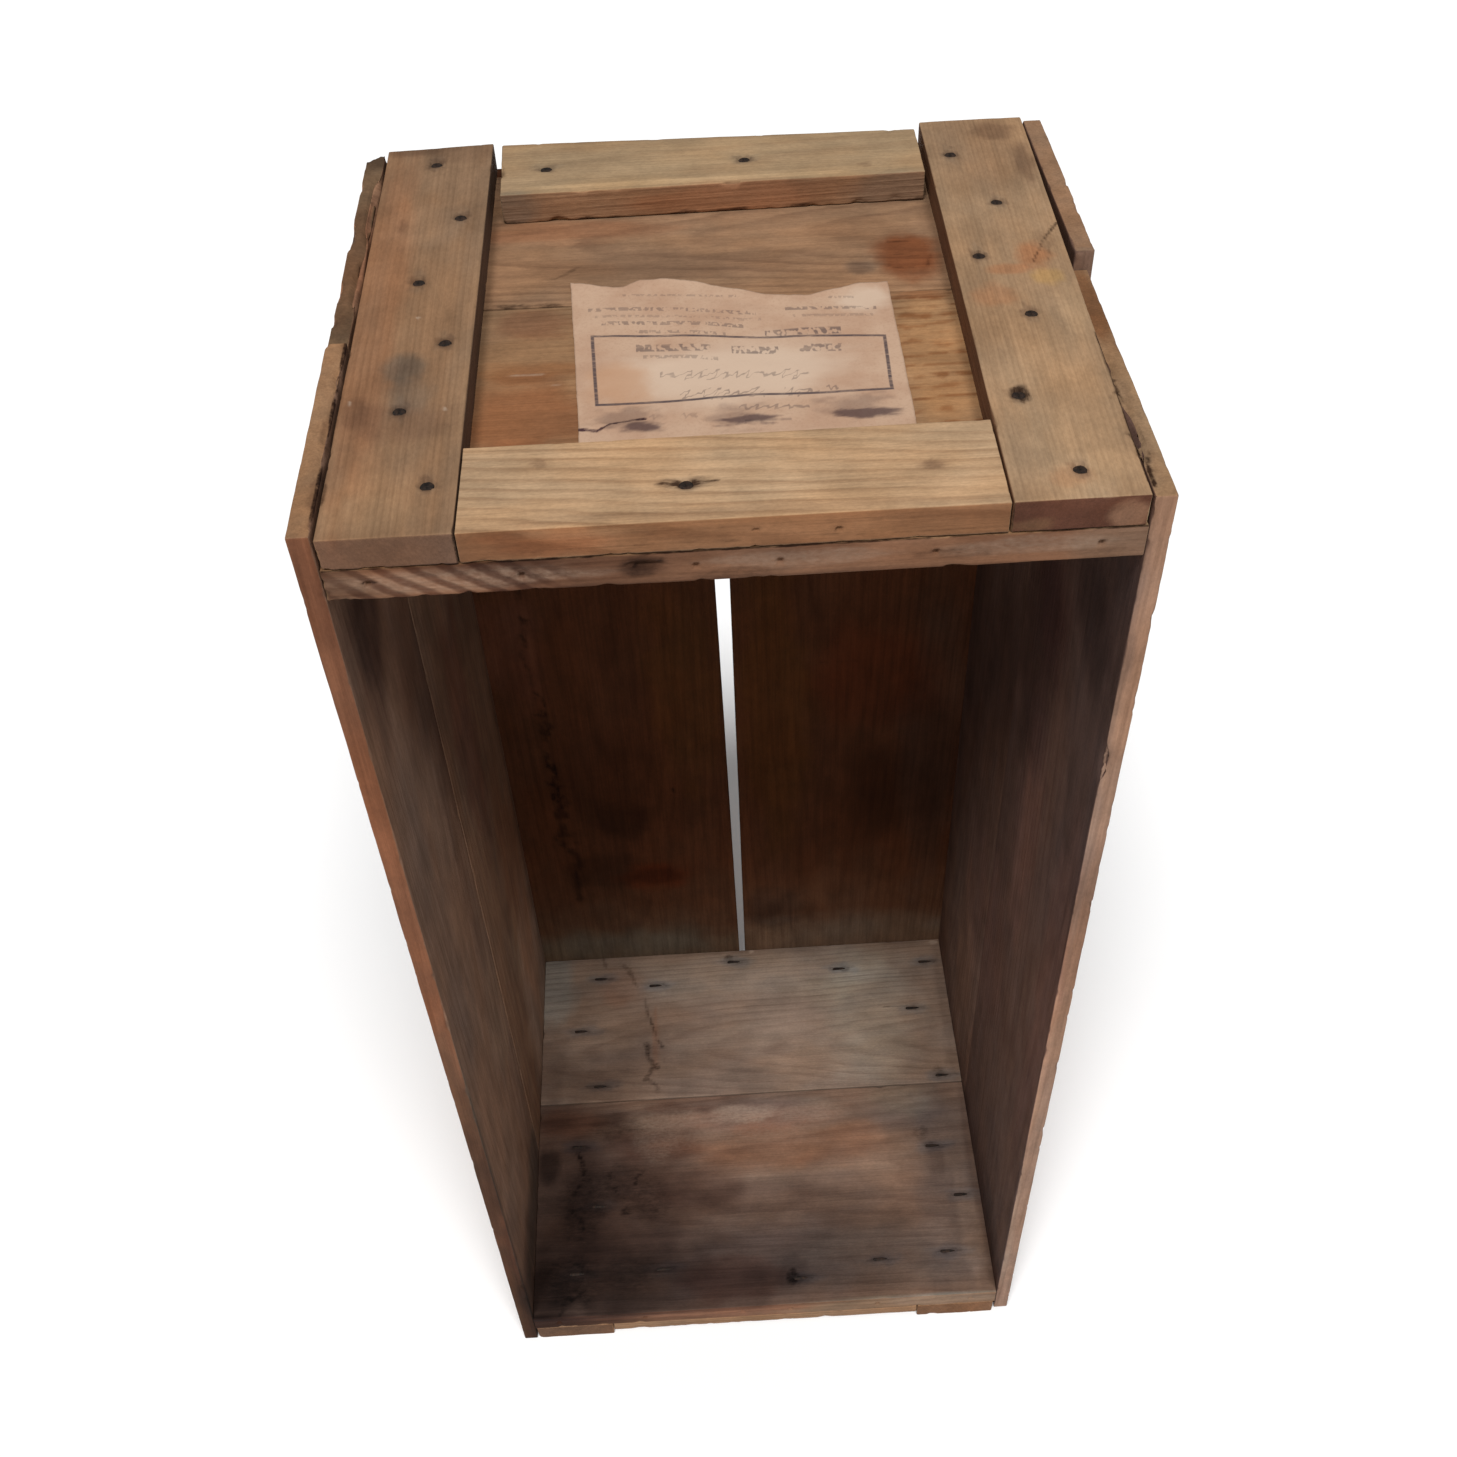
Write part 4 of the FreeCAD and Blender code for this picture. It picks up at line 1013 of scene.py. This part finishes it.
            ("grey", 0.5, (-165, 230, 450), (4, 40, 160)),
            ("light", 0.9, (INSIDE_LEFT, 240, 100), (6, 70, 100)),
            ((1.2, 1.4, 1.65), 1.0, (INSIDE_LEFT, 240, 80), (6, 70, 110)),
            ("shade", 0.5, (INSIDE_LEFT, 150, 480), (6, 50, 120)),
            ("shade", 0.5, (INSIDE_LEFT, 240, 460), (6, 50, 70)),
            ("shade", 0.3, (INSIDE_LEFT, 220, 330), (6, 60, 90)),
            ("shade", 0.5, (INSIDE_LEFT, 291, 300), (6, 14, 300)),
            ("shade", 0.7, (-160, 288, CLEAT_TOP), (12, 16, 16)),
            ("red", 0.4, (-160, 200, CLEAT_TOP), (10, 60, 10)),
            ("shade", 0.5, (-160, 140, CLEAT_TOP), (10, 12, 8)),
            ((0.9, 0.75, 0.75), 1.0, (INSIDE_LEFT, 190, 420), (6, 40, 110)),
            ((1.15, 1.25, 1.3), 1.0, (INSIDE_LEFT, 202, 180), (6, 26, 42)),
        ],
        cuts=[((-156, 291, CLEAT_TOP), (-0.8, 1.0, 0.7), (-162, 291, CLEAT_TOP), 34)],
        bites=[(3, (-157, 240, CLEAT_TOP), (3, 34, 4)), (2.2, (-157, 175, CLEAT_TOP), (2.5, 26, 3)),
               (2.0, (-165, 215, CLEAT_TOP), (2.5, 12, 3))],
    ),
    # the right side boards' colours are dark for their inner faces, partly the wood's own colour and partly
    # painted shade; their front, top and outer faces are lifted by face tints
    "right_side_front_board": dict(
        letters="zyx", step=2.4, chips=1.0, nails_of=("right_side_nails", "right"),
        look=dict(SIDE_LOOK, early=(0.125, 0.07, 0.052), late=(0.08, 0.043, 0.031),
                  pith=(30, -80), fibres=0.45),
        faces={"front": (2.7, 2.85, 2.5), "up": (2.5, 2.8, 2.1), "right": (2.4, 2.6, 2.5)},
        blots=[
            # the inner face: painted shadow over its upper part and painted light lower down, among its
            # stains and cracks
            ("shade", 0.5, (INSIDE_RIGHT, 60, 640), (6, 100, 70)),
            ("sawn", 0.15, (165, 70, 300), (4, 70, 190)),
            ("shade", 0.6, (165, 80, 16), (4, 110, 44)),
            ("dark", 0.7, (165, 60, 710), (165, 64, 620), 0.9),
            ("grey", 0.5, (165, 110, 560), (4, 36, 120)),
            ("shade", 0.7, (INSIDE_RIGHT, 125, 520), (6, 50, 100)),
            ("shade", 0.6, (INSIDE_RIGHT, 40, 600), (6, 36, 34)),
            ("light", 0.4, (INSIDE_RIGHT, 60, 330), (6, 70, 230)),
            ("shade", 0.6, (160, 0, 440), (12, 5, 80)),
            ("grey", 0.5, (160, 0, 120), (12, 5, 200)),
            ("blue", 0.3, (INSIDE_RIGHT, 20, 560), (6, 40, 200)),
            ("light", 0.3, (INSIDE_RIGHT, 50, 300), (6, 60, 100)),
            ("shade", 0.5, (INSIDE_RIGHT, 60, 30), (6, 120, 30)),
            ("seam", 1.0, (157.4, 6, 709.8), (157.6, 104, 706.1), 0.9),
            ("dark", 0.8, (158, 15, 710), (158, 60, 708), 1.5),
            ("dark", 0.8, (158, 70, 708), (158, 100, 706.5), 1.7),
            ((0.6, 0.45, 0.36), 1.0, (161, 140, 706), (9, 42, 10)),
            ("light", 0.4, (162, 40, 709), (5, 24, 6)),
            ((1.15, 1.25, 1.3), 1.0, (INSIDE_RIGHT, 80, 120), (6, 150, 110)),
            ((1.3, 1.2, 1.2), 1.0, (INSIDE_RIGHT, 98, 410), (6, 30, 110)),
            ("shade", 0.4, (160, 60, 710), (4, 60, 5)),
            ((1.18, 1.1, 1.12), 1.0, (INSIDE_RIGHT, 16, 360), (6, 22, 180)),
            ((1.2, 1.14, 1.16), 1.0, (INSIDE_RIGHT, 140, 230), (6, 50, 90)),
            ((0.86, 0.74, 0.78), 1.0, (INSIDE_RIGHT, 112, 552), (6, 40, 40)),
            ((0.76, 0.84, 0.92), 1.0, (INSIDE_RIGHT, 34, 54), (6, 40, 28)),
        ],
        bites=[(2.5, (INSIDE_RIGHT, 0, 561), (5, 5, 13)), (2.8, (157, 45, 709), (2.6, 24, 5)),
               (2.2, (157, 90, 706), (2.4, 10, 5))],
    ),
    "right_side_rear_board": dict(
        letters="zyx", step=2.4, chips=1.0, nails_of=("right_side_nails", "right"),
        look=dict(SIDE_LOOK, early=(0.14, 0.078, 0.055), late=(0.09, 0.048, 0.033),
                  pith=(110, -70), fibres=0.45),
        faces={"front": (1.8, 1.8, 1.6), "up": (1.85, 1.95, 1.6), "right": (2.2, 2.4, 2.3), "rear": "light"},
        blots=[
            # the inner face: painted shadow over its upper part and painted light low down, among its stains
            ("light", 0.5, (INSIDE_RIGHT, 154, 240), (6, 6, 180)),
            ("sawn", 0.15, (165, 220, 500), (6, 80, 150)),
            ("shade", 0.6, (165, 220, 12), (6, 100, 44)),
            ("dark", 0.6, (165, 240, 0), (165, 236, 110), 0.8),
            ("black", 0.5, (165, 205, 330), (4, 10, 14)),
            ("light", 0.6, (INSIDE_RIGHT, 190, 110), (6, 60, 110)),
            ("shade", 0.4, (INSIDE_RIGHT, 285, 300), (6, 20, 260)),
            ("shade", 0.7, (INSIDE_RIGHT, 190, 440), (6, 50, 90)),
            ("shade", 0.6, (INSIDE_RIGHT, 260, 380), (6, 50, 110)),
            ((1.25, 1.35, 1.4), 1.0, (INSIDE_RIGHT, 220, 120), (6, 80, 130)),
            ("grey", 0.6, (162, 170, 705), (8, 3, 14)),
            ((1.16, 1.12, 1.14), 1.0, (INSIDE_RIGHT, 190, 220), (6, 40, 80)),
        ],
        cuts=[((INSIDE_RIGHT, 162, 40), (-1, -0.28, 0.008), (INSIDE_RIGHT, 150, 190), (20, 40, 250))],
    ),
    "back_left_board": dict(
        letters="zxy", step=2.6, chips=0.9, nails_of=("back_nails", "rear"), look=BACK_LOOK,
        faces={"rear": (2.6, 3.95, 5.3)},
        blots=[
            ("sawn", 0.16, (-80, 300, 560), (80, 4, 130)),
            ("shade", 0.5, (-80, 300, 20), (110, 4, 50)),
            ("dark", 0.7, (-52, 300, 700), (-56, 300, 610), 0.9),
            ("black", 0.5, (-112, 300, 400), (10, 4, 15)),
            ("dark", 0.5, (-130, BACK, 470), (-127, BACK, 290), 3.4),
            ("dark", 0.6, (-127, BACK, 320), (-124, BACK, 216), 4),
            ("black", 0.7, (-124, BACK, 216), (-120, BACK, 115), 5),
            ("black", 0.5, (-80, BACK, 196), (26, 6, 22)),
            ("black", 0.5, (-100, BACK, 140), (34, 6, 26)),
            ("red", 0.9, (-64, BACK, 130), (30, 6, 20)),
            ("shade", 0.7, (-60, BACK, 130), (20, 6, 12)),
            ("dark", 0.7, (-43, BACK, 227), (2.4, 5, 4)),
            ("shade", 0.4, (-90, BACK, 250), (40, 6, 60)),
            ("olive", 0.6, (-30, BACK, 330), (30, 6, 120)),
            # a paler, cooler band low on the inner face: dust, and painted light bounced up from the floor
            ((1.3, 2.1, 2.8), 1.0, (-90, BACK, 30), (140, 6, 44)),
            ((1.1, 1.3, 1.5), 0.9, (-90, BACK, 60), (140, 6, 90)),
            ((1.15, 1.4, 1.6), 0.8, (-100, BACK, 64), (120, 6, 40)),
            ((1.25, 1.3, 1.6), 1.0, (-138, BACK, 370), (26, 6, 60)),
        ],
    ),
    "back_right_board": dict(
        letters="zxy", step=2.6, chips=0.9, nails_of=("back_nails", "rear"),
        look=dict(BACK_LOOK, pith=(60, -50)),
        faces={"rear": (2.6, 3.95, 5.3)},
        blots=[
            ("sawn", 0.16, (90, 300, 200), (80, 4, 170)),
            ("shade", 0.5, (90, 300, 20), (110, 4, 50)),
            ("dark", 0.7, (110, 300, 0), (106, 300, 120), 0.9),
            ("grey", 0.5, (60, 300, 470), (40, 4, 160)),
            ("shade", 0.5, (135, BACK, 240), (30, 6, 90)),
            ("black", 0.5, (98, BACK, 215), (26, 6, 60)),
            ("red", 0.5, (100, BACK, 330), (50, 6, 60)),
            ("dark", 0.35, (60, BACK, 346), (84, BACK, 344), 1.6),
            ("dark", 0.35, (58, BACK, 336), (80, BACK, 336), 1.4),
            ("olive", 0.7, (30, BACK, 300), (30, 6, 160)),
            # a paler, cooler band low on the inner face: dust, and painted light bounced up from the floor
            ((1.4, 2.1, 2.8), 1.0, (80, BACK, 30), (150, 6, 44)),
            ((1.25, 1.5, 1.75), 0.9, (80, BACK, 60), (150, 6, 90)),
            ("shade", 0.6, (27, BACK, 84), (29, 6, 30)),
            ("grey", 0.9, (27, BACK, 84), (26, 6, 27)),
            ("light", 1.0, (27, BACK, 84), (24, 6, 25)),
            ("shade", 0.4, (22, BACK, 80), (12, 6, 12)),
            ((1.1, 1.2, 1.3), 0.8, (80, BACK, 68), (130, 6, 36)),
            ((0.92, 1.14, 1.5), 1.0, (138, BACK, 260), (24, 6, 170)),
        ],
    ),
    "bottom_left_cleat": dict(
        letters="yxz", step=2.4, nails_of=("bottom_left_cleat_nails", "down"), look=CLEAT_LOOK,
        faces={"front": "shade"},
    ),
    "bottom_right_cleat": dict(
        letters="yxz", step=2.4, nails_of=("bottom_right_cleat_nails", "down"), look=CLEAT_LOOK,
        faces={"front": (0.7, 0.6, 0.55)},
    ),
    "bottom_front_cleat": dict(
        letters="xyz", step=2.4, nails_of=("bottom_front_cleat_nails", "down"),
        look=dict(CLEAT_LOOK, pith=(10, -60), ring=3),
    ),
    "bottom_rear_cleat": dict(
        letters="xyz", step=2.4, nails_of=("bottom_rear_cleat_nails", "down"),
        look=dict(CLEAT_LOOK, pith=(40, -50), ring=3),
    ),
}

cleat_nails = {}
for end in ENDS:
    outer = "up" if end == "top" else "down"
    for side in ("left", "right", "front", "rear"):
        group = f"{end}_{side}_cleat_nails"
        cleat_nails.setdefault(end, []).extend(find_nails(group, outer))

for name, details in BOARDS.items():
    details = dict(details)
    low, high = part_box(name)
    inside = lambda place: all(low[axis] - MM < place[axis] < high[axis] + MM for axis in range(2))
    if "nails_of" in details:
        group, side = details.pop("nails_of")
        seen = (1, 2) if side in ("left", "right") else (0, 2) if side == "rear" else (0, 1)
        heads = [head for head, tip in find_nails(group, side)]
        details["nails"] = [
            head for head in heads if all(low[axis] < head[axis] < high[axis] for axis in seen)
        ]
    if "tips_of" in details:
        nails = cleat_nails[details.pop("tips_of")]
        details["tips"] = [(head, tip) for head, tip in nails if inside(head)]
    board(name, **details)

iron = rust()
for end in ENDS:
    outer = "up" if end == "top" else "down"
    for side in ("left", "right", "front", "rear"):
        nail_group(f"{end}_{side}_cleat_nails", outer, True, iron)
nail_group("left_side_nails", "left", False, iron)
nail_group("right_side_nails", "right", False, iron)
nail_group("back_nails", "rear", False, iron)


# ---- the paper label ---------------------------------------------------------------------------------

LABEL_CORNERS = ((-65, 191), (77.5, 177.5), (77, 56), (-59, 56))
BORDER = ((-55, 145.5), (71, 134), (70.5, 95), (-52, 95.5))
# smudges on it: (x, y, strength, reach)
SMUDGES = (
    (-40, 84, 0.4, (13, 8, 9)), (-34, 78, 0.9, (12, 4, 9)), (4, 82, 0.4, (14, 9, 9)),
    (9, 79.5, 0.9, (13, 4, 9)), (53, 86, 0.4, (15, 9, 9)), (57, 80, 0.9, (14, 4.5, 9)),
)
# the tear in its front, from point to point
TEAR = ((-61, 79, 0), (-52, 77, 0), (-46, 81, 0), (-33, 84, 0))
FULL_TURN = 6.283
# how far the torn rear edge stands behind the line between its corners, at shares of the label's width
TORN_EDGE = ((0, 0), (0.05, -2.5), (0.1, -4), (0.17, -3.6), (0.22, 1.6), (0.35, 1.2), (0.42, -1),
             (0.53, -6.6), (0.6, -10.5), (0.68, -11.5), (0.75, -10.5), (0.83, -6.6), (0.9, -2), (0.95, 0),
             (1, 0))


def paper_material():
    """Aged pinkish paper with a printed border and rows of strokes that stand for print and writing."""
    make = Shader("label_paper", roughness=0.85, specular=0.2)
    sheet = make.attribute("grain", "Vector")
    across, deep, _ = make.parts(sheet)
    cloud = make.noise(sheet, (30, 30, 30), 4, 0.6)
    fleck = make.noise(sheet, (700, 700, 700), 4, 0.7, seed=2)
    crease = make.noise(sheet, (18, 9, 1), 2, 0.5, seed=4)
    colour = make.mix(make.remap(cloud, 0.35, 0.65), (0.5, 0.335, 0.23), (0.43, 0.265, 0.175))
    colour = make.mix(make.math("MULTIPLY", make.remap(fleck, 0.45, 0.75), 0.3), colour, (0.3, 0.17, 0.11))
    colour = make.mix(make.math("MULTIPLY", make.attribute("faded"), 0.8), colour, (0.58, 0.435, 0.325))
    colour = make.mix(make.math("MULTIPLY", make.attribute("warm"), 0.6), colour, (0.45, 0.24, 0.13))
    drift = make.math("MULTIPLY", make.math("SUBTRACT", crease, 0.5), 0.009)
    faint = make.noise(sheet, (110, 500, 1), 4, 0.75, seed=6)
    # the border is where the nearest of its four lines is half a millimetre away
    edge = -1.0
    for index, start in enumerate(BORDER):
        end = BORDER[(index + 1) % 4]
        run = np.array(end, float) - start
        normal = np.array([-run[1], run[0]]) / np.linalg.norm(run)
        offset = float(normal @ start)
        away = make.vector("DOT_PRODUCT", sheet, (float(normal[0]), float(normal[1]), 0))
        edge = make.math("MAXIMUM", edge, make.math("SUBTRACT", away, offset * MM))
    line = make.math("ABSOLUTE", make.math("MULTIPLY_ADD", drift, 0.6, edge))
    ink = make.math("MULTIPLY", make.remap(line, 0.00105, 0.00045), make.remap(faint, 0.25, 0.45, 0.6, 1.0))

    def row_between(start, stop, first, last):
        """How far points are from a row that slopes between its ends, and which lie within its ends."""
        slope = (last - first) / (stop - start)
        level = make.math("SUBTRACT", deep, (first - slope * start) * MM)
        row = make.math("MULTIPLY_ADD", across, -slope, level)
        beside = make.math("ABSOLUTE", make.math("SUBTRACT", across, (start + stop) / 2 * MM))
        return row, make.math("LESS_THAN", beside, (stop - start) / 2 * MM)

    # rows of print: (from, to, depth at both, height, strokes for each metre, strength)
    printed = (
        (-42, 9, 176.5, 171.5, 1.6, 650, 0.35), (-57, 17, 167.2, 158.2, 2.8, 560, 0.5),
        (-54, 19, 161, 153, 2.0, 650, 0.3), (-51, 11, 155, 148.7, 2.8, 560, 0.55),
        (-36, 3, 147, 142.5, 2.4, 560, 0.45), (49, 61, 166, 165, 1.8, 600, 0.35),
        (30, 70, 158.5, 155.5, 2.6, 560, 0.55), (33, 68, 152.5, 150, 2.0, 650, 0.3),
        (20, 53, 141.6, 139.6, 5.0, 420, 0.75), (-36, -4, 134, 131.4, 5.4, 440, 0.65),
        (5, 25, 130.6, 129, 5.4, 440, 0.65), (34, 53, 128.6, 127, 5.4, 440, 0.65),
        (-33, -1, 126.9, 123.8, 2.6, 560, 0.4),
    )
    for index, (start, stop, first, last, height, pitch, strength) in enumerate(printed):
        row, within = row_between(start, stop, first, last)
        row = make.math("ABSOLUTE", make.math("ADD", row, drift))
        inside = make.remap(row, height * 0.6 * MM, height * 0.42 * MM)
        inside = make.math("MULTIPLY", inside, within)
        marks = make.remap(make.noise(sheet, (pitch, pitch * 0.5, 1), 1, seed=20 + 3 * index), 0.44, 0.54)
        ink = make.math("MAXIMUM", ink, make.math("MULTIPLY", make.math("MULTIPLY", inside, marks), strength))
    # rows of handwriting: (from, to, depth at both, height, waves for each metre, strength)
    written = (
        (-26, 37, 114, 108.6, 6.0, 190, 0.5), (-18, 40, 99.2, 96.3, 6.4, 180, 0.55),
        (6, 35, 88.2, 86.1, 2.6, 230, 0.5), (-31, -11, 84.5, 84.3, 4.6, 230, 0.25),
        (43, 48, 98.5, 98, 2.6, 300, 0.5), (8, 27, 78.6, 78.2, 0.2, 100, 0.4),
    )
    for index, (start, stop, first, last, height, pitch, strength) in enumerate(written):
        row, within = row_between(start, stop, first, last)
        hand = make.noise(sheet, (90, 40, 1), 3, 0.7, seed=60 + 5 * index)
        phase = make.math("MULTIPLY_ADD", across, pitch * FULL_TURN, make.math("MULTIPLY", hand, 16.0))
        phase = make.math("MULTIPLY_ADD", row, -900.0, phase)
        swing = make.math("MULTIPLY", make.math("SINE", phase), height / 2 * MM)
        size = make.remap(make.noise(sheet, (120, 1, 1), 2, seed=80 + index), 0.38, 0.62, 0.2, 1.1)
        gap = make.math("ABSOLUTE", make.math("SUBTRACT", row, make.math("MULTIPLY", swing, size)))
        inside = make.remap(gap, 0.0013, 0.0003)
        words = make.remap(make.noise(sheet, (60, 1, 1), 1, seed=140 + index), 0.38, 0.42)
        inside = make.math("MULTIPLY", make.math("MULTIPLY", inside, within), words)
        ink = make.math("MAXIMUM", ink, make.math("MULTIPLY", inside, strength))
    ink = make.math("MULTIPLY", ink, make.remap(faint, 0.25, 0.6, 0.5, 1.0))
    colour = make.mix(make.math("MULTIPLY", ink, 0.9), colour, (0.05, 0.037, 0.045))
    colour = make.tinted(make.attribute("smudge"), colour, (0.2, 0.18, 0.24))
    blotted = make.attribute("dark")
    grit = make.math("SUBTRACT", make.noise(sheet, (260, 420, 1), 5, 0.7, seed=9), 0.5)
    gritty = make.math("MULTIPLY", make.math("MULTIPLY", grit, 2.4), blotted)
    blotted = make.remap(make.math("ADD", blotted, gritty), 0.03, 1.0)
    colour = make.tinted(blotted, colour, (0.12, 0.08, 0.13))
    return make.finish(colour, make.math("ADD", fleck, crease), 0.0001)


def paper_label():
    """A thin sheet glued to the panel, with a torn rear edge, slight creases and a tear in its front."""
    low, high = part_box("paper_label")
    points, quads = closed_lattice(np.linspace(0, 1, 150), np.linspace(0, 1, 140), np.array([0, 1]))
    right, forward, thick = points.T
    corners = [np.array(corner, float) for corner in LABEL_CORNERS]
    rear = corners[0] + right[:, None] * (corners[1] - corners[0])
    front = corners[3] + right[:, None] * (corners[2] - corners[3])
    wave = np.interp(right, *zip(*TORN_EDGE))
    torn = 1.3 * smooth_noise(np.stack([right * 140, 0 * right, 0 * right], axis=1), (7, 1, 1), 31, 4)
    rear[:, 1] += wave + torn - 1.2
    flat = rear + forward[:, None] * (front - rear)
    sides = np.stack([forward * 120, 0 * right, 0 * right], axis=1)
    flat[:, 0] += 0.5 * smooth_noise(sides, (9, 1, 1), 33, 4)
    spots = np.column_stack([flat, np.zeros(len(flat))])
    lift = 0.35 + 0.35 * smooth_noise(spots, (30, 14, 1), 35, 3)
    lift += 1.1 * ramp(forward, 0.09, 0.0) * np.clip(0.4 + smooth_noise(spots, (22, 22, 1), 36, 2), 0, 1)
    lift += 0.5 * blot(spots, (-45, 80, 0), (16, 3, 4), 37)
    spots[:, 2] = low.z / MM + np.maximum(lift, 0.02) + 0.22 * (thick - 0.5) + 0.11
    level = np.column_stack([flat, np.zeros(len(flat))])
    smudge = np.zeros(len(spots))
    for index, (x, y, strength, reach) in enumerate(SMUDGES):
        smudge = np.maximum(smudge, strength * blot(level, (x, y, 0), reach, 41 + index, 0.75))
    marks = np.zeros(len(spots))
    for index, (start, end) in enumerate(zip(TEAR, TEAR[1:])):
        marks = np.maximum(marks, 0.95 * streak(level, start, end, 0.9, 51 + index))
    faded = blot(level, (5, 114, 0), (62, 26, 30), 61)
    faded = np.maximum(faded, blot(level, (66, 163, 0), (14, 12, 9), 62))
    attributes = {
        "grain": level * MM, "dark": marks, "smudge": smudge, "faded": faded,
        "warm": blot(level, (-44, 108, 0), (16, 18, 30), 63),
    }
    spots = spots * MM + np.array([CRATE_ZERO[0], CRATE_ZERO[1], 0])
    return make_piece("paper_label_sheet", spots, quads[:, ::-1], paper_material(),
                      "paper_label", attributes)


paper_label()


# ---- floor, lights and camera ------------------------------------------------------------------------

FLOOR_HALF = 6
FLOOR_WHITE = (0.95, 0.95, 0.95, 1)
SKY_STRENGTH = 0.26
SUN_SOFTNESS = 0.25
# each sun's name, its energy and the way its light travels
SUNS = (("left_key", 1.75, (0.42, 1, -2.1)), ("right_key", 1.4, (-0.42, 1, -2.1)))
# the photo's camera, fitted to the crate's visible corners: lens in mm, place in m, turn in degrees
LENS = 40.46
CAMERA_PLACE = (-0.0123, -0.6183, 1.0978)
CAMERA_TURN = (43.103, 1.903, -2.684)

floor_mesh = bpy.data.meshes.new("floor")
square = [(x * FLOOR_HALF, y * FLOOR_HALF, 0) for x, y in ((-1, -1), (1, -1), (1, 1), (-1, 1))]
floor_mesh.from_pydata(square, [], [(0, 1, 2, 3)])
floor = bpy.data.objects.new("floor", floor_mesh)
bpy.context.scene.collection.objects.link(floor)
paint = Shader("floor_paint")
paint.surface.inputs["Base Color"].default_value = FLOOR_WHITE
floor_mesh.materials.append(paint.material)

world = bpy.data.worlds.new("studio")
world.use_nodes = True
world.node_tree.nodes["Background"].inputs["Color"].default_value = (1, 1, 1, 1)
world.node_tree.nodes["Background"].inputs["Strength"].default_value = SKY_STRENGTH
bpy.context.scene.world = world

# a broad light from the front and above, made of two soft suns that reach both inner walls
for name, energy, travel in SUNS:
    sun = bpy.data.lights.new(name, "SUN")
    sun.energy = energy
    sun.angle = SUN_SOFTNESS
    lamp = bpy.data.objects.new(name, sun)
    bpy.context.scene.collection.objects.link(lamp)
    lamp.rotation_euler = Vector(travel).to_track_quat("-Z", "Y").to_euler()

camera_data = bpy.data.cameras.new("camera")
camera_data.lens = LENS
camera = bpy.data.objects.new("camera", camera_data)
bpy.context.scene.collection.objects.link(camera)
camera.location = CAMERA_PLACE
camera.rotation_euler = Euler(np.radians(CAMERA_TURN))
bpy.context.scene.camera = camera
bpy.context.scene.view_settings.view_transform = "Standard"
